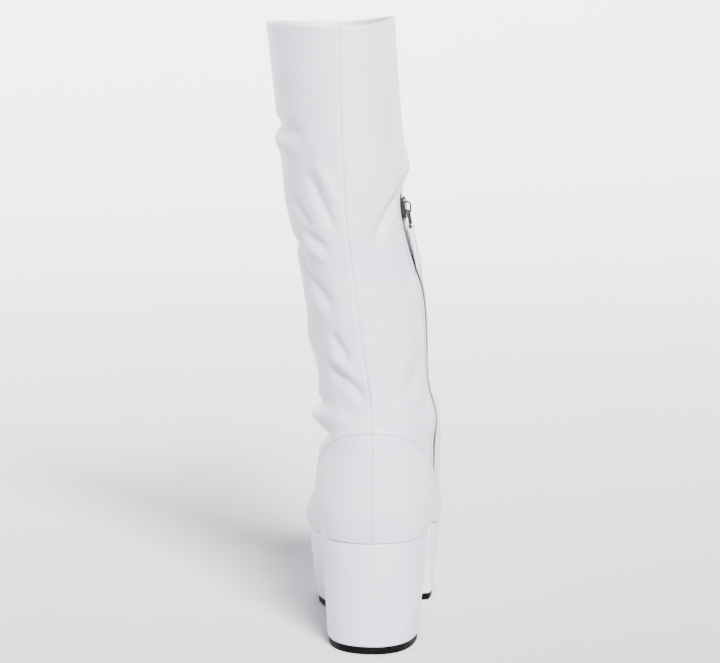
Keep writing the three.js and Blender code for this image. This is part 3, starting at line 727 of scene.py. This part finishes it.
# Top line of the counter as seen from the side: height * sqrt(1 - (along / length)^power)
def counterTop(along):
    share = np.clip(along / counter["length"], 0, 1)
    return boot["heelHeight"] + counter["height"] * np.sqrt(1 - share ** counter["power"])


# The counter's edge: for each distance along the foot, the place on the leather whose height meets the
# top line, found by halving the range
def counterEdge(side):
    table = np.linspace(0, 12, 200)
    top = counterTop(counter["startAt"])
    start = np.interp(top, between(table, "backHeight"), between(table, "start"))
    along = start + (counter["length"] - start) * side ** 2
    low, high = np.zeros_like(side), np.full_like(side, 10.0)

    def turnAt(place):
        share = (along - between(place, "start")) / (between(place, "end") - between(place, "start"))
        return np.arccos(np.clip(1 - 2 * share, -1, 1)) * np.sign(side)

    for _ in range(40):
        middle = (low + high) / 2
        under = leather(middle, turnAt(middle))[..., 2] < counterTop(along)
        low, high = np.where(under, middle, low), np.where(under, high, middle)
    return low, turnAt(low)


# Columns from the inner to the outer side, closer together over the back seam
def counterColumns():
    even = np.linspace(-1, 1, counter["columns"])
    fine = np.array(upperMesh["seamFine"]) / 120
    return np.sort(np.concatenate([even[np.abs(even) > 0.045], fine]))


# Counter: straight lines from its edge down to the sole in the leather's own places and turns
def counterPoint(side, depth, lift):
    edgePlace, edgeTurn = counterEdge(side)
    footTurn = side * np.abs(counterEdge(np.array([1.0]))[1])
    top = leather(edgePlace, edgeTurn)
    length = np.maximum(np.linalg.norm(top - leather(0 * edgePlace, footTurn), axis=-1), 0.5)
    share = np.clip(depth / length, 0, 1)
    return skin(mix(edgePlace, 0, share), mix(edgeTurn, footTurn, share), lift), length


def makeCounter():
    side = counterColumns()
    _, length = counterPoint(side, 0 * side, 0.0)
    near = counter["edgeRows"]
    nearLast = np.minimum(near[-1], length * (len(near) - 1) / counter["rows"])
    rows = []
    for i in range(counter["rows"]):
        if i < len(near):
            depth = np.minimum(near[i], length * i / counter["rows"])
        else:
            depth = mix(nearLast, length, (i - len(near) + 1) / (counter["rows"] - len(near)))
        roundness = min(near[min(i, len(near) - 1)] / counter["edgeRound"], 1)
        lift = counter["thickness"] * math.sqrt(1 - (1 - roundness) ** 2) if i > 0 else -counter["tuck"]
        rows.append(counterPoint(side, depth, lift)[0])
    grid = np.array(rows)[::-1]
    piece = makePiece("heel_counter", grid, gridFaces(*grid.shape[:2]), whiteLeather, tidyNormals=False)


seamStitch = {"pitch": 2.6, "length": 1.9, "width": 0.55, "height": 0.42}
tabStitch = {"pitch": 1.9, "length": 1.35, "width": 0.4, "height": 0.22}


# Stitches: a short ellipsoid at each step of a path, laid along it and half sunk into the leather
def makeStitches(name, paths, stitch, body="boot"):
    rings, sides = 5, 6
    polar = np.linspace(0.25, math.pi - 0.25, rings)
    azimuth = np.linspace(0, 2 * math.pi, sides, endpoint=False)
    shape = np.stack([
        np.cos(polar)[:, None] + 0 * azimuth[None, :],
        np.sin(polar)[:, None] * np.cos(azimuth)[None, :],
        np.sin(polar)[:, None] * np.sin(azimuth)[None, :],
    ], -1) * [stitch["length"] / 2, stitch["width"] / 2, stitch["height"]]
    blocks, faces, count = [], [], 0
    cap = [list(range(sides))[::-1], [(rings - 1) * sides + i for i in range(sides)]]
    one = gridFaces(rings, sides, closed=True).tolist() + cap
    for points, outward in paths:
        reached = np.concatenate([[0], np.cumsum(np.linalg.norm(np.diff(points, axis=0), axis=-1))])
        steps = np.arange(stitch["pitch"] / 2, reached[-1], stitch["pitch"])
        centre = np.stack([np.interp(steps, reached, points[:, i]) for i in range(3)], -1)
        ahead = np.stack([np.interp(steps + 0.5, reached, points[:, i]) for i in range(3)], -1)
        behind = np.stack([np.interp(steps - 0.5, reached, points[:, i]) for i in range(3)], -1)
        normal = unit(np.stack([np.interp(steps, reached, outward[:, i]) for i in range(3)], -1))
        along = unit(ahead - behind)
        across = unit(np.cross(normal, along))
        axes = np.stack([along, across, normal], 1)
        turned = np.einsum("rsk,nkj->nrsj", shape, axes)
        blocks.append((centre[:, None, None, :] + turned).reshape(-1, 3))
        for first in range(count, count + len(steps) * rings * sides, rings * sides):
            faces += [[first + index for index in face] for face in one]
        count += len(steps) * rings * sides
    piece = makePiece(name, np.concatenate(blocks), faces, thread, body)


def stitchPath(place, turn, lift):
    return skin(place, turn, lift), outwardAt(skin, place, turn)


# Rows along the counter's edge, up the back seam and on both sides of the zip
def makeSeamStitches():
    paths = []
    side = np.linspace(-0.99, 0.99, 260)
    inset = np.full_like(side, counter["stitchInset"])
    points, _ = counterPoint(side, inset, counter["thickness"])
    lifted, _ = counterPoint(side, inset, counter["thickness"] + 1)
    paths.append((points, unit(lifted - points)))
    backHeights = np.linspace(seams["stitchFrom"], seams["stitchTo"], 90)
    backPlace = np.interp(backHeights, between(reachTable, "backHeight"), reachTable)
    counterEnd = counterTop(counter["seamAt"]) - counter["stitchClear"]
    onCounter = counter["thickness"] * (between(backPlace, "backHeight") < counterEnd)
    paths.append(stitchPath(backPlace, 0 * backPlace, onCounter))
    heights = np.linspace(zipLine["foot"] - 2, zipLine["top"] + 4, 160)
    place = zipPlaceAt(heights)
    middle = zipTurn(place)
    for across in (-zipRows["stitchPlace"], zipRows["stitchPlace"]):
        turn = middle + across / reach(place, middle)
        paths.append(stitchPath(place, turn, -zipRows["stitchFurrow"] * 0.6))
    makeStitches("seam_stitches", paths, seamStitch)


makeUpper()
makeLining()
makeCounter()
makeSeamStitches()
print("upper made")

heelBlock = {"taper": (3.6, 5.8, 0.0, 3.0), "breastSlant": 5.0, "round": 1.3, "topPiece": 4.4}
platform = {"taper": (5.6, 4.2, 7.0, 0.0), "start": 117.0, "startSlant": 15.0, "round": 1.3, "outsole": 4.2}
soleFit = {"gap": 0.3, "outsoleInset": 0.9, "waist": 3.0, "insole": 3.0, "insoleInset": 2.5, "edge": 0.9}


# The foot's outline on the sole, drawn in by (outer, inner, toe, back) millimetres along its own normal
def footOutline(inset):
    outer, inner, toe, back = inset
    sides = []
    for turn in (np.linspace(0, math.pi, 300), np.linspace(2 * math.pi, math.pi, 300)):
        point = leather(0.0, turn)
        tangent = unit((leather(0.0, turn + 0.01) - leather(0.0, turn - 0.01)) * [1, 1, 0])
        outward = np.stack([-tangent[:, 1], tangent[:, 0]], -1)
        amount = np.where(outward[:, 0] > 0, outer, inner) * outward[:, 0] ** 2
        amount = amount + np.where(outward[:, 1] > 0, back, toe) * outward[:, 1] ** 2
        flat = point[:, :2] - outward * amount[:, None]
        sides.append((oblique(-flat[:, 1], flat[:, 0]), flat))
    return sides


# One ring of a sole piece: stations between two places on both sides, closer together at a rounded end
def soleRing(inset, start, end, count):
    sides = footOutline(inset)
    first = sides[0][0][0] if start is None else start
    last = sides[0][0][-1] if end is None else end
    steps = np.arange(count)
    if start is None and end is None:
        shares = (1 - np.cos((steps + 0.5) * math.pi / count)) / 2
    elif start is None:
        shares = 1 - np.cos((steps + 0.5) * math.pi / (2 * count - 1))
    elif end is None:
        shares = np.sin(steps * math.pi / (2 * count - 1))
    else:
        shares = steps / (count - 1)
    at = mix(first, last, shares)
    halves = [np.stack([np.interp(at, place, flat[:, 0]), np.interp(at, place, flat[:, 1])], -1)
              for place, flat in sides]
    return np.concatenate([halves[0], halves[1][::-1]]), np.concatenate([at, at[::-1]])


# Levels of a rounded slab: (share of the height, millimetres above it, millimetres drawn in)
def roundedLevels(radius, top=True, bottom=True, middle=(0.2, 0.4, 0.6, 0.8)):
    turns = [(math.cos(angle), math.sin(angle)) for angle in np.radians([0, 30, 60, 90])]
    low = [(0, radius * (1 - c), radius * (1 - s)) for c, s in turns] if bottom else [(0, 0, 0)]
    high = [(1, -radius * (1 - c), radius * (1 - s)) for c, s in turns[::-1]] if top else [(1, 0, 0)]
    return low + [(share, 0, 0) for share in middle] + high


# A sole piece: rings from its lower to its upper face, closed across by straight strips. Its insets, start
# and end follow the level (share of the height, millimetres drawn in), its two heights the place along it
def solePiece(name, material, levels, insetAt, startAt, endAt, lowAt, highAt, count=70):
    rings = []
    for share, above, drawnIn in levels:
        ring, at = soleRing(insetAt(share, drawnIn), startAt(share, drawnIn), endAt(share, drawnIn), count)
        height = mix(lowAt(at), highAt(at), share) + above
        rings.append(np.concatenate([ring, height[:, None]], 1))
    grid = np.array(rings)
    size = 2 * count
    faces = gridFaces(len(rings), size, closed=True).tolist()
    last = (len(rings) - 1) * size
    for i in range(count - 1):
        strip = [i, i + 1, size - 2 - i, size - 1 - i]
        faces += [strip, [last + index for index in strip[::-1]]]
    return makePiece(name, grid, faces, material)


# Insets of a block that tapers to the ground, of the rubber under it, and of a piece with even sides
def taperedInset(taper):
    return lambda share, drawnIn: tuple(side * (1 - share) + drawnIn for side in taper)


def rubberInset(taper):
    return lambda share, drawnIn: tuple(side + soleFit["outsoleInset"] + drawnIn for side in taper)


def evenInset(amount):
    return lambda share, drawnIn: (amount + drawnIn,) * 4


# The start or end of a piece that runs to the foot's own rounded end
def footEnd(share, drawnIn):
    return None


# Heights along a piece: level, so far above the ground side, or so far below the sole's upper side
def level(height):
    return lambda at: height + 0 * at


def aboveGround(rise):
    return lambda at: groundAt(at) + rise


def belowSeat(drop):
    return lambda at: seatAt(at) - drop


def makeHeel():
    def breast(share, drawnIn):
        return boot["heelDepth"] - heelBlock["breastSlant"] * (1 - share) - drawnIn

    def rubberBreast(share, drawnIn):
        return breast(0, soleFit["outsoleInset"] + drawnIn)

    gap, taper, topPiece = soleFit["gap"], heelBlock["taper"], heelBlock["topPiece"]
    heel = solePiece("heel_cover", coverLeather, roundedLevels(heelBlock["round"]), taperedInset(taper),
                     footEnd, breast, level(topPiece + gap), belowSeat(gap))
    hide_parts("heel")
    topLift = solePiece("heel_top_lift", rubber, roundedLevels(0.5, middle=()), rubberInset(taper),
                        footEnd, rubberBreast, level(0), level(topPiece))
    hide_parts("heel_top_piece")
    softenEdges(heel, soleFit["edge"])
    softenEdges(topLift, soleFit["edge"])


def makePlatform():
    def start(share, drawnIn):
        return platform["start"] + platform["startSlant"] * (1 - share) + drawnIn

    def rubberStart(share, drawnIn):
        return start(0, soleFit["outsoleInset"] + drawnIn)

    gap, taper, outsole = soleFit["gap"], platform["taper"], platform["outsole"]
    cover = solePiece("platform_cover", coverLeather, roundedLevels(platform["round"]), taperedInset(taper),
                      start, footEnd, aboveGround(outsole + gap), belowSeat(gap), 90)
    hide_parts("platform")
    tread = solePiece("outsole_rubber", rubber, roundedLevels(0.6, middle=()), rubberInset(taper),
                      rubberStart, footEnd, aboveGround(0), aboveGround(outsole), 90)
    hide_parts("outsole")
    softenEdges(cover, soleFit["edge"])
    softenEdges(tread, soleFit["edge"])


def makeWaist():
    def start(share, drawnIn):
        return boot["heelDepth"] + soleFit["gap"]

    def end(share, drawnIn):
        return platform["start"] - soleFit["gap"]

    gap = soleFit["gap"]
    waist = solePiece("waist_cover", waistBoard, roundedLevels(0.8, top=False, middle=()), evenInset(gap),
                      start, end, belowSeat(gap + soleFit["waist"]), belowSeat(gap))
    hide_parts("waist")


def makeInsole():
    insole = solePiece("insole_cover", insoleLeather, roundedLevels(1.0, bottom=False, middle=()),
                       evenInset(soleFit["insoleInset"]), footEnd, footEnd,
                       belowSeat(0), belowSeat(-soleFit["insole"]))
    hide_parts("insole")


makeHeel()
makePlatform()
makeWaist()
makeInsole()
print("sole made")

slider = {"length": 14.0, "width": 9.4, "plate": 1.3, "lift": 1.2, "bridgeLength": 8.0, "bridgeHeight": 3.6,
          "bridgeBar": 1.1, "bridgeFlat": 2.0, "bridgeBend": 0.55, "flangeAt": 3.42, "flange": 0.54,
          "linkLength": 12.0, "linkWidth": 7.4, "linkCorner": 1.65, "rod": 1.3, "play": 0.35,
          "tabLength": 32.0, "tabWidth": 8.8, "tabShoulder": 6.2, "tabThickness": 2.2, "tabPoint": 6.0,
          "tabClearance": 3.2, "eyeWall": 0.9, "stitchInset": 1.1}


# A tube of round section along a closed or open path; the section stands square to the path
def tubeAlong(path, radius, sides=16, closed=False, outward=(0, 0, 1)):
    path = np.array(path, float)
    if closed:
        tangent = unit(np.roll(path, -1, 0) - np.roll(path, 1, 0))
    else:
        tangent = unit(np.gradient(path, axis=0))
    side = unit(np.cross(tangent, np.array(outward, float)))
    top = unit(np.cross(side, tangent))
    angle = np.linspace(0, 2 * math.pi, sides, endpoint=False)
    ring = side[:, None] * (np.cos(angle) * radius)[None, :, None]
    ring = ring + top[:, None] * (np.sin(angle) * radius)[None, :, None]
    points = path[:, None] + ring
    faces = gridFaces(len(path), sides, closed=True, looped=closed).tolist()
    if not closed:
        last = (len(path) - 1) * sides
        faces += [list(range(sides))[::-1], [last + i for i in range(sides)]]
    return points.reshape(-1, 3), faces


# A slab from an outline: rings drawn in towards the middle near both faces, so that its edge is round
def roundedSlab(outline, low, high, radius):
    outline = np.array(outline, float)
    ahead, behind = np.roll(outline, -1, 0), np.roll(outline, 1, 0)
    tangent = unit(ahead - behind)
    inward = np.stack([-tangent[:, 1], tangent[:, 0]], -1)
    rings = []
    for face, towards in ((low, 1), (high, -1)):
        for angle in np.radians([0, 30, 60, 90])[::towards]:
            flat = outline + inward * radius * (1 - math.sin(angle))
            height = np.full((len(flat), 1), face + towards * radius * (1 - math.cos(angle)))
            rings.append(np.concatenate([flat, height], 1))
    grid = np.array(rings)
    count = len(outline)
    faces = gridFaces(len(rings), count, closed=True).tolist()
    faces += [list(range(count))[::-1], [(len(rings) - 1) * count + i for i in range(count)]]
    return grid.reshape(-1, 3), faces


# Points of an outline with more of them between its corners, which are cut by short curves
def smoothOutline(corners, radius, perCorner=6, perSide=6):
    corners = np.array(corners, float)
    result = []
    for i, corner in enumerate(corners):
        previous, following = corners[i - 1], corners[(i + 1) % len(corners)]
        before, after = unit(previous - corner), unit(following - corner)
        nextRoom = min(radius, 0.45 * np.linalg.norm(following - corner))
        room = min(nextRoom, 0.45 * np.linalg.norm(previous - corner))
        a, b = corner + before * room, corner + after * room
        for t in np.linspace(0, 1, perCorner):
            result.append((1 - t) ** 2 * a + 2 * t * (1 - t) * corner + t * t * b)
        end = following - after * nextRoom
        result += [mix(b, end, t) for t in np.linspace(0, 1, perSide + 2)[1:-1]]
    return np.array(result)


def joinMeshes(*parts):
    points, faces, count = [], [], 0
    for block, blockFaces in parts:
        points.append(block)
        faces += [[index + count for index in face] for face in blockFaces]
        count += len(block)
    return np.concatenate(points), faces


# Points in a piece's own axes, put at its origin
def placed(points, origin, axes):
    return origin + np.asarray(points) @ np.array(axes)


# Points of the unworn leather, which the slider and pull line up with as the solids do
def plainPoint(place, middle, across=0.0, lift=0.0):
    turn = middle + across / reach(place, middle)
    return leather(place, turn) + outwardAt(leather, place, turn) * lift


def plainZipPoint(place, across=0.0):
    return plainPoint(np.array(place), zipTurn(np.array(place)), across)


# The slider sits just under the zip's top; the link hangs in its bridge and the tab on the link, both
# leaning so that the tab's tip clears the leather
sliderPlace = float(zipPlaceAt(zipLine["top"] - slider["length"] / 2 - 2))
sliderOrigin = plainZipPoint(sliderPlace)
sliderUp = unit(plainZipPoint(sliderPlace + 0.2) - plainZipPoint(sliderPlace - 0.2))
sliderAcross = unit(plainZipPoint(sliderPlace, -1.0) - plainZipPoint(sliderPlace, 1.0))
sliderOut = unit(np.cross(sliderAcross, sliderUp))
sliderAcross = unit(np.cross(sliderUp, sliderOut))
sliderAxes = [sliderAcross, sliderUp, sliderOut]
plateTop = slider["lift"] + slider["plate"]
pivotLocal = [0, -slider["bridgeLength"] / 2 + slider["bridgeBar"] + slider["rod"] / 2 + slider["play"],
              plateTop + slider["rod"] / 2 + slider["play"]]
linkPivot = placed(pivotLocal, sliderOrigin, sliderAxes)
tipPlace = zipPlaceAt(linkPivot[2] - slider["linkLength"] - slider["tabLength"])
pullTip = plainPoint(tipPlace, innerTurn(tipPlace, -linkPivot[1]), 0.0, slider["tabClearance"])
pullUp = unit(linkPivot - pullTip)
pullOut = unit(np.cross(sliderAcross, pullUp))
pullAxes = [np.cross(pullUp, pullOut), pullUp, pullOut]
linkReach = slider["linkLength"] - slider["rod"]
tabPivot = linkPivot - pullUp * linkReach


# Slider: a shouldered plate with flanges down into the slot, and an arched bridge on top
def makeSlider():
    half, width = slider["length"] / 2, slider["width"] / 2
    shares = [(-0.72, -1), (0.72, -1), (0.82, 0.1), (1, 0.55), (0.6, 1), (-0.6, 1), (-1, 0.55), (-0.82, 0.1)]
    outline = smoothOutline(np.array(shares) * [width, half], 1.4)
    plate = roundedSlab(outline, slider["lift"], plateTop, 0.45)
    flanges = []
    for side in (-1, 1):
        left = side * slider["flangeAt"] - slider["flange"] / 2
        right = left + slider["flange"]
        corners = [(left, 1 - half), (right, 1 - half), (right, half - 1), (left, half - 1)]
        flanges.append(roundedSlab(smoothOutline(corners, 0.2, 3, 2), -0.6, slider["lift"] + 0.2, 0.1))
    angle = np.linspace(0, math.pi, 22)
    reachOut = slider["bridgeLength"] / 2 - slider["bridgeBar"] / 2
    tall = slider["bridgeHeight"] - slider["bridgeBar"] / 2
    bend = slider["bridgeBend"]
    arch = np.stack([0 * angle, -reachOut * np.sign(np.cos(angle)) * np.abs(np.cos(angle)) ** bend,
                     plateTop - 0.2 + tall * np.sin(angle) ** bend], -1)
    bridgePoints, bridgeFaces = tubeAlong(arch, slider["bridgeBar"] / 2, 12, outward=(1, 0, 0))
    bridgePoints = bridgePoints * [slider["bridgeFlat"], 1, 1]
    points, faces = joinMeshes(plate, *flanges, (bridgePoints, bridgeFaces))
    piece = makePiece("zip_slider_body", placed(points, sliderOrigin, sliderAxes), faces, nickel)
    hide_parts("zip_slider")


# Link: a closed loop of round rod
def makeLink():
    half = (slider["linkWidth"] - slider["rod"]) / 2
    corners = [(half, 0), (-half, 0), (-half, -linkReach), (half, -linkReach)]
    path = smoothOutline(corners, slider["linkCorner"], 7, 5)
    path = np.concatenate([path, np.zeros((len(path), 1))], 1)
    points, faces = tubeAlong(path, slider["rod"] / 2, 16, closed=True)
    piece = makePiece("zip_pull_link", placed(points, linkPivot, pullAxes), faces, nickel, "link")
    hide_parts("zip_link")


# Tab: a strap with a pointed end whose top is rolled round the link's lower bar
def makeTab():
    eye = slider["rod"] / 2 + slider["play"]
    eyeWidth = (slider["linkWidth"] - 2 * slider["rod"] - 2 * slider["play"]) / 2
    neck = -(eye + 0.6)
    shoulder, width, end = slider["tabShoulder"] / 2, slider["tabWidth"] / 2, -slider["tabLength"]
    widest = end + slider["tabPoint"]
    outline = [(eyeWidth, -0.9), (-eyeWidth, -0.9), (-eyeWidth, neck), (-shoulder, neck - 1.2),
               (-width, widest), (0, end), (width, widest), (shoulder, neck - 1.2), (eyeWidth, neck)]
    face = slider["tabThickness"] / 2
    strap = roundedSlab(smoothOutline(outline, 0.9, 6, 8), -face, face, 0.5)
    angle = np.radians(np.linspace(-100, 280, 30)[1:-1])
    ring = []
    for x, radius in ((-eyeWidth, eye), (-eyeWidth, eye + slider["eyeWall"]),
                      (eyeWidth, eye + slider["eyeWall"]), (eyeWidth, eye)):
        ring.append(np.stack([np.full_like(angle, x), np.sin(angle) * radius, np.cos(angle) * radius], -1))
    faces = gridFaces(len(angle), 4, closed=True).tolist()
    last = (len(angle) - 1) * 4
    faces += [[3, 2, 1, 0], [last, last + 1, last + 2, last + 3]]
    points, faces = joinMeshes(strap, (np.stack(ring, 1).reshape(-1, 3), faces))
    tab = makePiece("zip_pull_tab", placed(points, tabPivot, pullAxes), faces, coverLeather, "tab")
    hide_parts("zip_tab")
    inset = slider["stitchInset"]
    corners = np.array([(inset - shoulder, neck - 2.4), (inset - width, widest + 0.4), (0, end + 1.6),
                        (width - inset, widest + 0.4), (shoulder - inset, neck - 2.4)])
    shares = np.linspace(0, 1, 20)[:, None]
    dense = np.concatenate([mix(a, b, shares) for a, b in zip(corners[:-1], corners[1:])])
    path = placed(np.concatenate([dense, np.full((len(dense), 1), face)], 1), tabPivot, pullAxes)
    makeStitches("tab_stitches", [(path, np.tile(pullOut, (len(path), 1)))], tabStitch, "tab")


zipTeeth = {
    "pitch": 1.5,
    "radius": 0.5,
    "sides": 6,
    "across": np.array([-0.5, 0.3, 1.6, 2.55, 2.8]),     # the bar's bends, from the middle outward
    "lift": np.array([-0.35, -0.1, -0.1, -0.35, -1.3]),
}
zipTape = {"width": 20.0, "end": 6.0, "face": -1.42, "back": -1.85}


# Zip: a tape at the bottom of the slot, and on it two rows of small bent bars that mesh in the middle
def makeZip():
    heights = np.linspace(zipLine["foot"] - zipTape["end"], zipLine["top"] + zipTape["end"], 160)
    place = zipPlaceAt(heights)
    across = np.linspace(-zipTape["width"] / 2, zipTape["width"] / 2, 25)
    grid = np.stack([zipPoint(place, side, zipTape["face"]) for side in across[::-1]]
                    + [zipPoint(place, side, zipTape["back"]) for side in across], 1)
    rows, columns = grid.shape[:2]
    ends = [list(range(columns)), list(range((rows - 1) * columns, rows * columns))]
    faces = gridFaces(rows, columns, closed=True).tolist() + ends
    tape = makePiece("zip_tape_strip", grid, faces, tapeFabric)
    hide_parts("zip_tape")
    steps = np.arange(zipLine["foot"] + 1, zipLine["top"] - 1, zipTeeth["pitch"])
    bends, sides = len(zipTeeth["across"]), zipTeeth["sides"]
    size = bends * sides
    angle = np.linspace(0, 2 * math.pi, sides, endpoint=False)
    caps = [list(range(sides))[::-1], list(range(size - sides, size))]
    one = gridFaces(bends, sides, closed=True).tolist() + caps
    blocks, faces, count = [], [], 0
    for side in (-1, 1):
        middle = zipPlaceAt(steps + (zipTeeth["pitch"] / 2 if side > 0 else 0))
        across = side * zipTeeth["across"]
        centre = np.stack([zipPoint(middle, a, lift) for a, lift in zip(across, zipTeeth["lift"])], 1)
        outward = outwardAt(leather, middle, zipTurn(middle))[:, None, None, :]
        upward = unit(zipPoint(middle + 0.05, 0.0) - zipPoint(middle - 0.05, 0.0))[:, None, None, :]
        ring = zipTeeth["radius"] * (np.cos(angle)[:, None] * upward + np.sin(angle)[:, None] * outward)
        blocks.append((centre[:, :, None, :] + ring).reshape(-1, 3))
        for first in range(count, count + len(steps) * size, size):
            faces += [[first + index for index in face] for face in one]
        count += len(steps) * size
    teeth = makePiece("zip_teeth", np.concatenate(blocks), faces, coilPlastic)
    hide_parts("zip_coil")


makeZip()
makeSlider()
makeLink()
makeTab()
print("zip made")

view = {
    "eye": (-0.0574, 1.521, 0.395),       # behind the heel, a little to the inner side, in metres
    "aim": (-0.002, 0.03, 0.1925),
    "lens": 116.0,
}


def makeCamera():
    camera = bpy.data.objects.new("camera", bpy.data.cameras.new("camera"))
    camera.location = view["eye"]
    camera.rotation_euler = (Vector(view["aim"]) - Vector(view["eye"])).to_track_quat("-Z", "Y").to_euler()
    camera.data.lens = view["lens"]
    camera.data.sensor_width = 36
    camera.data.clip_end = 50
    bpy.context.collection.objects.link(camera)
    bpy.context.scene.camera = camera


studio = {
    "world": (0.70, 0.74, 1.0, 1),
    "worldStrength": 0.16,
    "paper": (0.88, 0.88, 0.89, 1),
    "paperShade": (0.86, 0.862, 0.87, 1),
    "radius": 3.6,                        # the floor curves up into a low wall all round
    "bend": 1.9,
    "wallHeight": 1.95,
    "sides": 120,
    "sunFrom": (-0.42, 1.2, 0.95),
    "sunSoftness": 20.0,
    "sunStrength": 17.5,
    "fillPlace": (-1.7, 1.2, 0.7),
    "fillSize": 1.0,
    "fillPower": 2.0,
}


# Paper cove: a flat floor, then a quarter circle turned round the boot, then a low wall
def makeSweep():
    arc = np.linspace(0, math.pi / 2, 32)
    curve = studio["radius"] + studio["bend"] * (np.sin(arc) - 1)
    radii = np.concatenate([[curve[0] - 0.1], curve, [studio["radius"]]])
    heights = np.concatenate([[0], studio["bend"] * (1 - np.cos(arc)), [studio["wallHeight"]]])
    turn = np.linspace(0, 2 * math.pi, studio["sides"], endpoint=False)
    rings = np.stack([radii[:, None] * np.cos(turn), radii[:, None] * np.sin(turn),
                      heights[:, None] + 0 * turn], -1)
    faces = [list(range(studio["sides"]))] + gridFaces(len(radii), len(turn), closed=True).tolist()
    mesh = bpy.data.meshes.new("paper_sweep")
    mesh.from_pydata(rings.reshape(-1, 3), [], faces)
    mesh.polygons.foreach_set("use_smooth", np.arange(len(mesh.polygons)) > 0)
    sweep = bpy.data.objects.new("paper_sweep", mesh)
    bpy.context.collection.objects.link(sweep)
    paper = Shader("paper", Roughness=0.9, Specular_IOR_Level=0.1)
    mesh.materials.append(paper.set(
        Base_Color=paper.mixColour(paper.noise(8.0), studio["paper"], studio["paperShade"])))


# A light that looks at the middle of the boot
def aimLight(name, light, place):
    source = bpy.data.objects.new(name, light)
    source.location = place
    source.rotation_euler = (Vector((0, 0, 0.2)) - source.location).to_track_quat("-Z", "Y").to_euler()
    bpy.context.collection.objects.link(source)


def makeLights():
    world = bpy.data.worlds.new("studio")
    world.use_nodes = True
    world.node_tree.nodes["Background"].inputs["Color"].default_value = studio["world"]
    world.node_tree.nodes["Background"].inputs["Strength"].default_value = studio["worldStrength"]
    bpy.context.scene.world = world
    sun = bpy.data.lights.new("key", "SUN")
    sun.energy = studio["sunStrength"]
    sun.angle = math.radians(studio["sunSoftness"])
    aimLight("key", sun, studio["sunFrom"])
    fill = bpy.data.lights.new("fill", "AREA")
    fill.energy = studio["fillPower"]
    fill.size = studio["fillSize"]
    aimLight("fill", fill, studio["fillPlace"])


makeSweep()
makeLights()
makeCamera()
print("camera and lights made")
